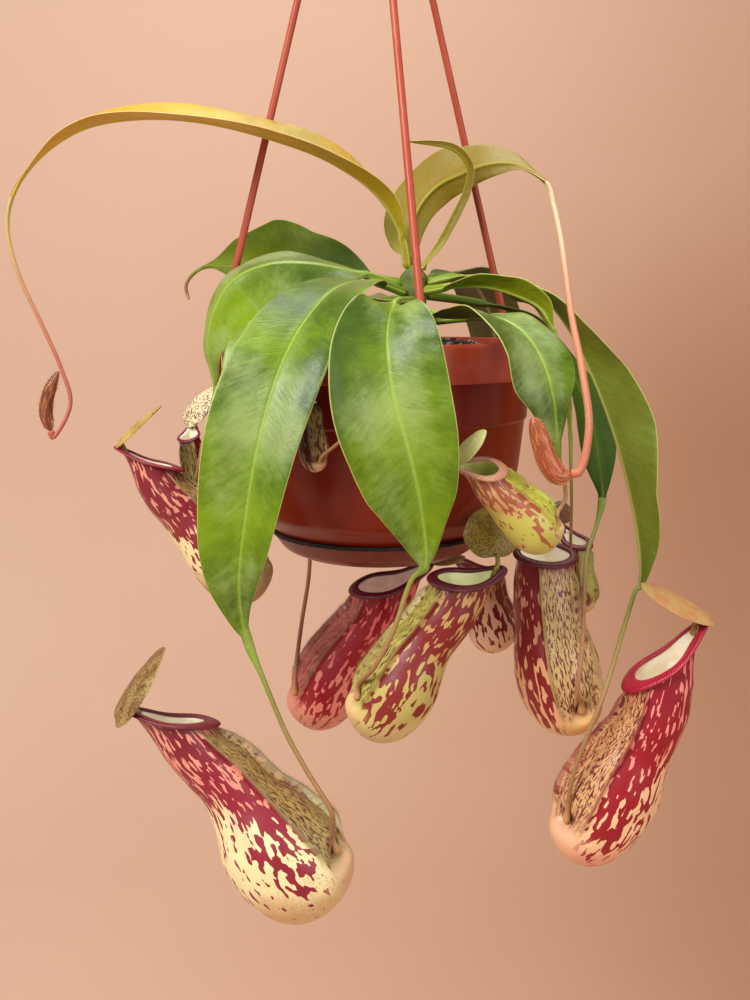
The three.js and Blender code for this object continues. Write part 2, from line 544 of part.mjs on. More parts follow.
// mid: stalk to blade tip along the midrib. across: direction of the second half, from stalk to
// tip. half: greatest widths of the two halves. hold: the pitcher that the tendril carries.
const LEAVES = {
  leaf_front_left: {
    mid: [[8, -6, 23], [-4, -26, 28], [-20, -50, 24], [-34, -70, 8], [-42, -82, -8], [-50, -90, -34],
      [-57, -93, -70], [-61, -91, -104], [-58, -87, -128]],
    tendril: [[-51, -90, -145], [-41, -91, -170], [-32, -94, -186], [-21, -98, -204]],
    across: [[-0.3, 0.9, 0], [-0.8, 0.3, 0.4], [-1, 0, 0]], half: [22, 23], peak: 0.4, peak2: 0.56,
    stalk: 0.08, fold: [10, 12, 14, 10], wave: 2, hold: "pitcher_lower_left",
  },
  leaf_front: {
    mid: [[16, -8, 19], [12, -36, 19], [7, -66, 18], [4, -84, 12], [3, -95, -1], [6, -101, -21],
      [12, -103, -42], [17, -101, -66], [19, -96, -93]],
    tendril: [[14, -93, -99], [6, -93, -122], [-2, -90, -139]],
    across: [[-1, 0, 0], [-1, 0, 0.05], [-1, 0, 0]], half: [24, 27], peak: 0.42, stalk: 0.29,
    stalk2: 0.26, peak2: 0.53, power: 1.2, fold: [10, 12, 30, 14, 8, 8, 12], hold: "pitcher_centre",
  },
  leaf_left: {
    mid: [[8, -3, 26], [-12, -8, 33], [-34, -13, 37], [-54, -17, 36], [-70, -20, 28], [-79, -22, 12],
      [-81, -24, -4], [-78, -26, -21]],
    tendril: [[-80, -29, -32], [-84, -35, -50]],
    across: [[0, 1, 0.2], [-0.1, 0.8, 0.6], [-0.3, 0.8, 0.5], [-0.6, 0.8, 0]], half: [31, 17], peak: 0.48,
    stalk: 0.1, fold: [0, -14, -18, -16, -10, -4], hold: "pitcher_small_left", tailR: 0.9,
  },
  leaf_back_left: {
    mid: [[10, 4, 28], [2, 16, 30], [-20, 26, 35], [-40, 31, 34], [-58, 34, 35], [-76, 34, 37],
      [-92, 33, 36]],
    tendril: [[-100, 33, 28], [-99, 32, 20]],
    across: [[0.4, 0.9, 0], [0, 0.6, 0.9], [0, 0.5, 0.9], [0, 0.8, 0.3]], half: [14, 29], peak: 0.52,
    stalk: 0.2, fold: [6, 4, 8], tailR: 0.9, tailSteps: 5, power: 2.2,
  },
  leaf_young_left: {
    mid: [[14, 0, 34.3], [11, -5, 50], [-1, -10, 69], [-23, -14, 84], [-51, -18, 94], [-83, -22, 101],
      [-112, -24, 102], [-138, -24, 97], [-160, -22, 83], [-172, -20, 67]],
    tendril: [[-175, -20, 52], [-171, -20, 32], [-161, -20, 8], [-153, -20, -12], [-149, -20, -30],
      [-151, -20, -43]],
    across: [[-0.6, 0.8, 0.2], [-0.3, 0.9, 0.35], [0, 1, 0.25], [0, 1, 0.3]], half: [17, 18], peak: 0.42,
    stalk: 0.1, fold: [30, 22, 14, 20], wave: 1, hold: "pitcher_bud_left", tailR: 1, tailSteps: 14,
  },
  leaf_young_right: {
    mid: [[18.5, 3.4, 34.3], [16, 8, 51], [20, 12, 65], [29, 12, 75], [40, 7, 80], [53, 0, 84], [66, -6, 83],
      [79, -14, 74]],
    tendril: [[82, -18, 64], [84, -27, 50], [84, -44, 34], [84, -66, 12], [86, -84, -10],
      [88, -93, -34], [86, -94, -50]],
    across: [[-0.9, 0, 0.3], [-0.9, 0.3, 0.4], [-0.4, 0.55, 0.75], [-0.3, 0.8, 0.4]], half: [9, 21],
    peak: 0.36, stalk: 0.06, fold: [30, 25, 20, 16], wave: 1, hold: "pitcher_young_right", tailR: 1,
    endR: 1.9, tailSteps: 14,
  },
  leaf_rolled: {
    mid: [[20.5, -2.6, 34.3], [28, -4, 46], [35, -6, 59], [41, -8, 72], [42, -10, 82], [36, -12, 89],
      [25, -14, 92], [12, -17, 93]],
    across: [[0, 1, 0], [0, 1, 0], [0, 1, 0]], half: [4, 4], peak: 0.35, power: 0.9,
    fold: [60, 55, 40], wave: 0, steps: 14, tailR: 0.6, stalkR: 2,
  },
  leaf_right: {
    mid: [[24, -2, 28], [40, -6, 31], [60, -10, 30], [78, -14, 22], [92, -17, 5], [103, -19, -17],
      [114, -20, -45], [123, -20, -74], [129, -19, -103], [130, -18, -121]],
    tendril: [[128, -19, -122], [120, -32, -136], [107, -51, -165], [99, -54, -185], [93, -51, -208]],
    across: [[0, -1, 0], [0, -1, 0], [0.1, -1, 0], [0.2, -1, 0]], half: [17, 20], peak: 0.58,
    stalk: 0.05, fold: [0, 0, 0, 0, 18, 45, 55, 28, 34, 40], wave: 2.2, hold: "pitcher_lower_right",
  },
  leaf_right_dark: {
    mid: [[24, 6, 22], [46, 14, 19], [66, 18, 15], [84, 23, 6], [98, 26, -14], [110, 27, -38],
      [116, 26, -64], [118, 24, -83]],
    tendril: [[115, 20, -96], [107, 2, -108], [100, -30, -121], [96, -50, -145], [94, -52, -165]],
    across: [[0, -1, 0], [0.3, -1, 0], [-0.7, -0.6, 0], [-1, -0.1, 0]], half: [13, 13], peak: 0.6,
    stalk: 0.15, fold: [8, 8, 10], hold: "pitcher_centre_right", tailSteps: 14,
  },
  leaf_front_right: {
    mid: [[22, -9, 15], [30, -34, 12], [42, -52, 12], [53, -64, 11], [63, -73, 4], [70, -79, -8],
      [74, -82, -22], [77, -80, -43]],
    tendril: [[79, -78, -52], [82, -75, -66], [84, -75, -77]],
    across: [[-1, -0.2, 0], [-0.9, -0.5, 0.1], [-0.9, -0.4, 0.2], [-1, -0.2, 0]], half: [15, 22],
    peak: 0.55, peak2: 0.58, stalk: 0.05, fold: [12, 10, 8], hold: "pitcher_small_front", tailR: 0.9,
    tailSteps: 8,
  },
  leaf_right_arch: {
    mid: [[25, -5, 24], [37, -15, 26], [50, -22, 26], [64, -28, 22], [75, -32, 16], [81, -35, 6]],
    tendril: [[83, -38, -2], [84, -39, -6]],
    across: [[0.3, -1, 0], [0.4, -1, 0.2], [0.5, -0.8, 0.1]], half: [10, 11], peak: 0.5, stalk: 0.1,
    fold: [10, 16, 12], tailR: 0.8, tailSteps: 4,
  },
  leaf_back_right: {
    mid: [[21, 8, 27], [32, 30, 33], [45, 52, 33], [57, 74, 24], [66, 92, 4], [69, 102, -25],
      [68, 106, -52]],
    tendril: [[67, 102, -80], [68, 82, -118], [70, 50, -146], [76, 28, -156]],
    across: [[1, 0, 0], [1, -0.4, 0], [1, -0.2, 0]], half: [17, 17], peak: 0.5, stalk: 0.1,
    fold: [10, 10, 10], hold: "pitcher_back_centre", steps: 10, tailSteps: 9,
  },
  leaf_right_low: {
    mid: [[24, -7, 9], [44, -22, 11], [62, -31, 9], [77, -36, -1], [86, -37, -18], [90, -35, -42]],
    tendril: [[91, -34, -58], [95, -16, -80], [98, 0, -104], [100, 3, -120]],
    across: [[0.4, -1, 0], [0.1, -1, 0.2], [-0.6, -0.9, 0.2]], half: [9, 9], peak: 0.55, stalk: 0.14,
    fold: [8, 8, 8], hold: "pitcher_back_right", tailR: 0.8, steps: 9, tailSteps: 10,
  },
  leaf_back: {
    mid: [[12, 8, 20], [-2, 32, 20], [-16, 55, 20], [-30, 76, 14], [-41, 92, -6], [-45, 98, -40]],
    tendril: [[-44, 92, -76], [-40, 70, -104], [-38, 40, -126], [-41, 12, -150], [-48, -5, -169]],
    across: [[1, 0.3, 0], [1, 0.3, 0], [1, 0.1, 0]], half: [18, 18], peak: 0.5, stalk: 0.1,
    fold: [10, 10, 10], hold: "pitcher_centre_red", steps: 10, tailSteps: 9,
  },
  leaf_left_low: {
    mid: [[8, -8, 14], [-14, -28, 12], [-36, -46, 11], [-53, -61, 3], [-61, -70, -15], [-64, -72, -40]],
    tendril: [[-62, -66, -62], [-58, -58, -80], [-54, -50, -92]],
    across: [[-0.6, 0.8, 0], [-0.7, 0.7, 0.2], [-1, 0.1, 0]], half: [12, 12], peak: 0.5, stalk: 0.14,
    fold: [8, 8, 8], hold: "pitcher_left", tailR: 0.9, steps: 9, tailSteps: 8,
  },
  leaf_front_low: {
    mid: [[13, -10, 8], [4, -38, 7], [-5, -62, 6], [-14, -78, 0], [-19, -83, -12]],
    tendril: [[-18, -84, -26], [-15.5, -84, -38], [-17, -84, -47]],
    across: [[-1, -0.2, 0], [-1, -0.3, 0], [-1, -0.1, 0]], half: [8, 8], peak: 0.5, stalk: 0.2,
    fold: [8, 8, 8], hold: "pitcher_hidden", tailR: 0.8, tailSteps: 6, steps: 8,
  },
};

// Assembly.

const group = new THREE.Group();
group.name = "potted_pitcher_plant";

function addMesh(name, geometry, color, roughness) {
  geometry.translate(0, 0, -HOOK_RISE);
  const flat = geometry.index ? geometry.toNonIndexed() : geometry;
  flat.computeVertexNormals();
  const material = new THREE.MeshStandardMaterial({ color, roughness, metalness: 0 });
  const mesh = new THREE.Mesh(flat, material);
  mesh.name = name;
  group.add(mesh);
}

addMesh("pot", makePot(), 0xb8432e, 0.35);
addMesh("saucer", makeSaucer(), 0x8c3f2d, 0.45);
addMesh("soil", makeSoil(), 0x241a14, 0.95);
addMesh("crown", makeCrown(), 0x6f7d2a, 0.7);
addMesh("hanger", makeHanger(), 0xb5604c, 0.4);
const YOUNG = { leaf_young_left: 0xa08a22, leaf_young_right: 0x9a7f1c, leaf_rolled: 0xa9b03c };
for (const [name, spec] of Object.entries(LEAVES)) {
  addMesh(name, makeLeaf(spec), YOUNG[name] ?? 0x4f7a17, 0.35);
}
const PALE = {
  pitcher_centre: 0x9a8a36, pitcher_small_front: 0xa3a03a, pitcher_back_right: 0xa8a243,
  pitcher_young_right: 0xb5713f, pitcher_bud_left: 0x8d5a2b, pitcher_hidden: 0x6b4a22,
};
for (const [name, spec] of Object.entries(PITCHERS)) {
  addMesh(name, makePitcher(spec), PALE[name] ?? 0xa8323c, 0.4);
}

export default group;
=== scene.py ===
"""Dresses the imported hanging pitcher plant: plastic bowl pot, saucer, hanger, soil, leaves and pitchers.

The plant's tables are in millimetres, counted from the centre of the pot's rim, with +Z up and the
front at -Y. spot() turns them into the frame, which is in metres from the inside of the hook.
"""
import bisect
import logging
import math
import random
from dataclasses import dataclass
from enum import Enum, IntEnum
from typing import Callable, ClassVar, Iterable, Optional, Sequence, TypeVar, Union

import bmesh
import bpy
from mathutils import Matrix, Vector, noise


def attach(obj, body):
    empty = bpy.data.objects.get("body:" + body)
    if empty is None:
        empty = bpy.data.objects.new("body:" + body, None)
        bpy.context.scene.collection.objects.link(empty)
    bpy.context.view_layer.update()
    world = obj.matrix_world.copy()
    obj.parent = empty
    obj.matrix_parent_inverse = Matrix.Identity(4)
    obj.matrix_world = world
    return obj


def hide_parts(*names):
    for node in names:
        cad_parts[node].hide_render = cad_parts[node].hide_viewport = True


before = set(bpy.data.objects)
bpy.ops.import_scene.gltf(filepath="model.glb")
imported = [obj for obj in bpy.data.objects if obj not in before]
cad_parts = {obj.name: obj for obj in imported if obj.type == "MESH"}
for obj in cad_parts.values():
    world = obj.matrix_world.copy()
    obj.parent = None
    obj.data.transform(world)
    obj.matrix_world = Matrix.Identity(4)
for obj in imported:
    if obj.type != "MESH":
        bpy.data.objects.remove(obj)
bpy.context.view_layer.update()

log = logging.getLogger("pitcher_plant")
logging.basicConfig(level=logging.INFO, format="%(message)s")

Point = tuple[float, float, float]
Colour = tuple[float, float, float, float]
Surface = Callable[[float, float], Vector]
Mixable = TypeVar("Mixable", float, Vector)

TURN = 2.0 * math.pi
MM = 0.001
HOOK_RISE = 320.0  # from the pot's rim up to where the hook bears on its rail
SEAT = 0.3  # clearance between pieces that touch
CROWN_AT = Vector((17.0, 0.0, 0.0))
CROWN_R = 6.5
CROWN_TOP = 33.0  # where the top of the solid stem is
POT_RIM_R = 77.0
POT_BAND = 17.5  # height of the band round the rim
POT_H = 96.0
POT_WALL = 2.2
PEAK = 0.45  # rise of a pitcher's lip at the back, as a share of the mouth's radius
FOLD_AT = 0.17  # share of a pitcher's length at which the tendril goes in


# Plain sums

def mix(a: Mixable, b: Mixable, share: float) -> Mixable:
    """The number or point that lies share of the way from a to b."""
    return a + (b - a) * share


def smooth(x: float) -> float:
    """x held to 0..1 and eased at both ends."""
    c = min(1.0, max(0.0, x))
    return c * c * (3.0 - 2.0 * c)


def bell(x: float, width: float) -> float:
    """A bump of height 1 at x = 0, falling off over width."""
    return math.exp(-((x / width) ** 2))


def dome(x: float) -> float:
    """A quarter circle: 1 up to x = 0, and down to 0 at x = 1."""
    return math.sqrt(max(0.0, 1.0 - max(0.0, x) ** 2))


def along_list(values: Sequence[Mixable], share: float) -> Mixable:
    """What lies share, 0..1, of the way along evenly spaced numbers or vectors."""
    place = min(max(share, 0.0), 1.0) * (len(values) - 1)
    i = min(int(place), len(values) - 2)
    return mix(values[i], values[i + 1], place - i)


def spot(p: Vector) -> Vector:
    """A point of the plant's tables in the frame, in metres."""
    return Vector((p.x, p.y, p.z - HOOK_RISE)) * MM


def square_to(tangent: Vector, hint: Vector) -> Vector:
    """The hint made square to the tangent, of length 1."""
    return (hint - tangent * hint.dot(tangent)).normalized()


def tone(red: int, green: int, blue: int) -> Colour:
    """A colour given in the eye's 0..255 steps, as the linear colour that a shader takes."""
    def linear(step: int) -> float:
        """One channel, from its step to linear light."""
        c = step / 255.0
        return c / 12.92 if c <= 0.04045 else ((c + 0.055) / 1.055) ** 2.4
    return (linear(red), linear(green), linear(blue), 1.0)


class Path:
    """A centripetal Catmull-Rom curve through points, as the part's source draws it."""

    SAMPLES = 200  # straight steps that its length is measured in
    STEP = 1e-4  # of t, for the tangent

    def __init__(self, points: Iterable[Union[Point, Vector]]) -> None:
        """Keeps the points and measures the curve.

        Args:
            points: the places the curve goes through, in order.
        """
        self.points = [Vector(p) for p in points]
        self.lengths = [0.0]
        last = self.point(0.0)
        for i in range(1, self.SAMPLES + 1):
            here = self.point(i / self.SAMPLES)
            self.lengths.append(self.lengths[-1] + (here - last).length)
            last = here

    @property
    def length(self) -> float:
        """The curve's length."""
        return self.lengths[-1]

    def point(self, t: float) -> Vector:
        """The point at t, where each stretch between two given points takes an equal share of t."""
        last = len(self.points) - 1
        place = min(max(t, 0.0), 1.0) * last
        i = min(int(place), last - 1)
        f = place - i
        p1, p2 = self.points[i], self.points[i + 1]
        p0 = self.points[i - 1] if i > 0 else p1 * 2.0 - p2
        p3 = self.points[i + 2] if i + 2 <= last else p2 * 2.0 - p1
        d0, d1, d2 = (math.sqrt((b - a).length) for a, b in ((p0, p1), (p1, p2), (p2, p3)))
        t1 = ((p1 - p0) / d0 - (p2 - p0) / (d0 + d1) + (p2 - p1) / d1) * d1
        t2 = ((p2 - p1) / d1 - (p3 - p1) / (d1 + d2) + (p3 - p2) / d2) * d1
        square = p2 * 3.0 - p1 * 3.0 - t1 * 2.0 - t2
        cube = p1 * 2.0 - p2 * 2.0 + t1 + t2
        return p1 + t1 * f + square * f**2 + cube * f**3

    def tangent(self, t: float) -> Vector:
        """The direction of the curve at t."""
        return (self.point(min(1.0, t + self.STEP)) - self.point(max(0.0, t - self.STEP))).normalized()

    def share(self, s: float) -> float:
        """The t at share s of the curve's length."""
        want = min(max(s, 0.0), 1.0) * self.length
        low = min(bisect.bisect_right(self.lengths, want), self.SAMPLES) - 1
        span = self.lengths[low + 1] - self.lengths[low]
        return (low + (want - self.lengths[low]) / max(span, 1e-9)) / self.SAMPLES


# Mesh work

class Workpiece:
    """One visible piece of the plant while it is being modelled."""

    MERGE = 2e-7  # metres within which the points of a seam or pole become one
    HAIR_SIDES = 3
    HAIR_TIP = 0.15  # radius of a hair's tip, as a share of its root's

    def __init__(self, name: str) -> None:
        """Starts an empty mesh with the two UV maps that the finishes read.

        Args:
            name: the name of the piece.
        """
        self.name = name
        self.bm = bmesh.new()
        self.place = self.bm.loops.layers.uv.new("place")
        self.size = self.bm.loops.layers.uv.new("size")

    def lay(
        self,
        around: int,
        along: int,
        surface: Surface,
        finish: Union[int, Callable[[float, float], int]] = 0,
        size: Optional[Callable[[float, float], tuple[float, float]]] = None,
        place: Optional[Callable[[float, float], tuple[float, float]]] = None,
    ) -> None:
        """Adds a grid, lays it over a closed surface and merges its seam and poles.

        Args:
            around: faces once round the section.
            along: faces from the first section to the last.
            surface: gives the point, in the tables' millimetres, at a (round) and v (along), both 0..1.
            finish: the number of the finish, or what gives it at the middle of a face.
            size: what gives the real distances, in millimetres, that the UV map "size" holds.
            place: what gives the shares that the UV map "place" holds, if not a and v.
        """
        known = set(self.bm.verts)
        made = bmesh.ops.create_grid(self.bm, x_segments=around, y_segments=along, size=0.5)
        verts = made["verts"]
        faces = {f for v in verts for f in v.link_faces}
        for face in faces:
            face.smooth = True
            middle = face.calc_center_median()
            a, v = middle.x + 0.5, middle.y + 0.5
            face.material_index = finish if isinstance(finish, int) else finish(a, v)
            for loop in face.loops:
                at = (loop.vert.co.x + 0.5, loop.vert.co.y + 0.5)
                loop[self.place].uv = place(*at) if place else at
                if size:
                    across, down = size(*at)
                    loop[self.size].uv = (across * MM, down * MM)
        for vert in verts:
            vert.co = spot(surface(vert.co.x + 0.5, vert.co.y + 0.5))
        bmesh.ops.remove_doubles(self.bm, verts=verts, dist=self.MERGE)
        fresh = [v for v in self.bm.verts if v not in known]
        bmesh.ops.recalc_face_normals(self.bm, faces=list({f for v in fresh for f in v.link_faces}))

    def hair(self, root: Vector, tip: Vector, radius: float, finish: int) -> None:
        """Adds one tapering hair between two points of the tables."""
        way = tip - root
        turn = way.to_track_quat("Z", "Y").to_matrix().to_4x4()
        middle = Matrix.Translation(spot(root + way * 0.5)) @ turn
        made = bmesh.ops.create_cone(
            self.bm, cap_ends=True, segments=self.HAIR_SIDES, radius1=radius * MM,
            radius2=radius * self.HAIR_TIP * MM, depth=way.length * MM, matrix=middle,
        )
        for face in {f for v in made["verts"] for f in v.link_faces}:
            face.material_index = finish
            face.smooth = True

    def finish(self, materials: Sequence[bpy.types.Material], *nodes: str, slot: str) -> bpy.types.Object:
        """Closes the piece: makes its object, hangs it on the frame and hides the CAD nodes it stands for.

        Args:
            materials: its finishes, in the order of their numbers.
            nodes: the CAD nodes it stands for.
            slot: the record's material slot; not used.

        Returns:
            The finished object.
        """
        mesh = bpy.data.meshes.new(self.name)
        self.bm.to_mesh(mesh)
        self.bm.free()
        for material in materials:
            mesh.materials.append(material)
        piece = bpy.data.objects.new(self.name, mesh)
        bpy.context.scene.collection.objects.link(piece)
        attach(piece, "root")
        if nodes:
            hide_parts(*nodes)
        log.info("%s: %d faces", self.name, len(mesh.polygons))
        return piece


def tube(path: Path, start: float, end: float) -> Surface:
    """A closed round bar along a path.

    Args:
        path: the line it follows.
        start: its radius at the path's start.
        end: its radius at the path's end.

    Returns:
        The surface, with both ends closed.
    """
    sides: dict[float, tuple[Vector, Vector, Vector]] = {}
    carried = [Vector((0.3, 1.0, 0.2))]  # the last cross direction, which the next is made from
    walk = 400

    def station(v: float) -> tuple[Vector, Vector, Vector]:
        """The middle of the bar and its two cross directions at v."""
        key = round(v, 6)
        if key not in sides:
            t = path.share(v)
            tangent = path.tangent(t)
            carried[0] = square_to(tangent, carried[0])
            sides[key] = (path.point(t), carried[0].copy(), tangent.cross(carried[0]))
        return sides[key]

    def surface(a: float, v: float) -> Vector:
        """The point at a round the bar and v along it."""
        at, side, other = station(v)
        r = mix(start, end, v) if 0.0 < v < 1.0 else 0.0
        return at + side * (r * math.cos(TURN * a)) + other * (r * math.sin(TURN * a))

    for i in range(walk + 1):
        station(i / walk)
    return surface


# Finishes

class Val:
    """A number that varies over a surface: a socket that Python's sums add Math nodes to."""

    def __init__(self, shader: "Shader", socket: bpy.types.NodeSocket) -> None:
        """Wraps a socket of the shader that is being built."""
        self.shader = shader
        self.socket = socket

    def _sum(self, operation: str, *values: Union["Val", float]) -> "Val":
        """Adds a Math node over the values, in their order."""
        made = self.shader.node("ShaderNodeMath", {"operation": operation}, dict(enumerate(values)))
        return Val(self.shader, made.outputs[0])

    def __add__(self, other: Union["Val", float]) -> "Val":
        """self + other."""
        return self._sum("ADD", self, other)

    def __sub__(self, other: Union["Val", float]) -> "Val":
        """self - other."""
        return self._sum("SUBTRACT", self, other)

    def __rsub__(self, other: float) -> "Val":
        """other - self."""
        return self._sum("SUBTRACT", other, self)

    def __mul__(self, other: Union["Val", float]) -> "Val":
        """self * other."""
        return self._sum("MULTIPLY", self, other)

    def __abs__(self) -> "Val":
        """self without its sign."""
        return self._sum("ABSOLUTE", self)

    __radd__ = __add__
    __rmul__ = __mul__

    def sine(self) -> "Val":
        """The sine of self, in radians."""
        return self._sum("SINE", self)

    def cosine(self) -> "Val":
        """The cosine of self, in radians."""
        return self._sum("COSINE", self)

    def least(self, other: Union["Val", float]) -> "Val":
        """The smaller of the two."""
        return self._sum("MINIMUM", self, other)

    def step(self, low: float, high: float, start: float = 0.0, end: float = 1.0) -> "Val":
        """Eases from start to end while self goes from low to high."""
        made = self.shader.node(
            "ShaderNodeMapRange", {"interpolation_type": "SMOOTHSTEP"},
            {"Value": self, "From Min": low, "From Max": high, "To Min": start, "To Max": end},
        )
        return Val(self.shader, made.outputs[0])


Link = Union[Val, bpy.types.NodeSocket, float, Colour, Point]


class Shader:
    """A node material while it is being built."""

    def __init__(self, name: str) -> None:
        """Starts a material with a Principled surface."""
        self.material = bpy.data.materials.new(name)
        self.material.use_nodes = True
        self.tree = self.material.node_tree
        self.tree.nodes.clear()
        self.surface = self.node("ShaderNodeBsdfPrincipled")
        out = self.node("ShaderNodeOutputMaterial")
        self.tree.links.new(self.surface.outputs[0], out.inputs["Surface"])

    def node(
        self, kind: str, settings: Optional[dict[str, object]] = None,
        inputs: Optional[dict[Union[str, int], Link]] = None,
    ) -> bpy.types.Node:
        """Adds one node.

        Args:
            kind: the node's type.
            settings: its own settings, which are set first.
            inputs: the value or link of each socket, by name or number.

        Returns:
            The node.
        """
        made = self.tree.nodes.new(kind)
        for key, value in (settings or {}).items():
            setattr(made, key, value)
        self.feed(made, inputs or {})
        return made

    def feed(self, node: bpy.types.Node, inputs: dict[Union[str, int], Link]) -> None:
        """Sets or links a node's sockets, by name or number."""
        for key, value in inputs.items():
            if isinstance(value, Val):
                value = value.socket
            if isinstance(value, bpy.types.NodeSocket):
                self.tree.links.new(value, node.inputs[key])
            else:
                node.inputs[key].default_value = value

    def numbers(self, at: bpy.types.NodeSocket) -> tuple[Val, Val, Val]:
        """The three numbers of a vector."""
        x, y, z = self.node("ShaderNodeSeparateXYZ", None, {0: at}).outputs
        return Val(self, x), Val(self, y), Val(self, z)

    def uv(self, name: str) -> tuple[Val, Val]:
        """The two numbers of a UV map of the piece."""
        return self.numbers(self.node("ShaderNodeUVMap", {"uv_map": name}).outputs[0])[:2]

    def spot(self) -> bpy.types.NodeSocket:
        """The point on the piece, in the frame."""
        return self.node("ShaderNodeTexCoord").outputs["Object"]

    def vector(self, x: Link, y: Link, z: Link) -> bpy.types.NodeSocket:
        """A vector of three numbers."""
        return self.node("ShaderNodeCombineXYZ", None, {0: x, 1: y, 2: z}).outputs[0]

    def noise(self, at: Link, scale: float, detail: float = 2.0, rough: float = 0.5) -> Val:
        """Soft noise round 0.5, with scale in features per unit of its vector."""
        inputs = {"Vector": at, "Scale": scale, "Detail": detail, "Roughness": rough}
        return Val(self, self.node("ShaderNodeTexNoise", None, inputs).outputs[0])

    def cells(self, at: Link, scale: float) -> Val:
        """The distance to the nearest of scattered points."""
        return Val(self, self.node("ShaderNodeTexVoronoi", None, {"Vector": at, "Scale": scale}).outputs[0])

    def blend(self, share: Link, a: Link, b: Link) -> bpy.types.NodeSocket:
        """The colour that is share of the way from a to b.

        A Mix node's sockets 6 and 7 are its two colours, and its third output is the mixed colour.
        """
        return self.node("ShaderNodeMix", {"data_type": "RGBA"}, {0: share, 6: a, 7: b}).outputs[2]

    def layers(self, colour: Link, *over: tuple[Link, Link]) -> Link:
        """A colour with others laid over it in turn, each as (how much of it shows, colour)."""
        for share, other in over:
            colour = self.blend(share, colour, other)
        return colour

    def done(
        self, colour: Link, rough: Link, height: Optional[Val] = None, depth: float = 0.1,
        **uniform: Union[float, Colour],
    ) -> bpy.types.Material:
        """Sets the surface's own sockets and closes the material.

        Args:
            colour: the base colour.
            rough: the roughness.
            height: the fine relief, 0..1.
            depth: how deep that relief is, in millimetres.
            uniform: other sockets that are the same all over, with _ for each space.

        Returns:
            The material.
        """
        inputs: dict[str, Link] = {"Base Color": colour, "Roughness": rough}
        if height is not None:
            relief = {"Height": height, "Distance": depth * MM, "Strength": 1.0}
            inputs["Normal"] = self.node("ShaderNodeBump", None, relief).outputs[0]
        self.feed(self.surface, inputs | {key.replace("_", " "): value for key, value in uniform.items()})
        return self.material


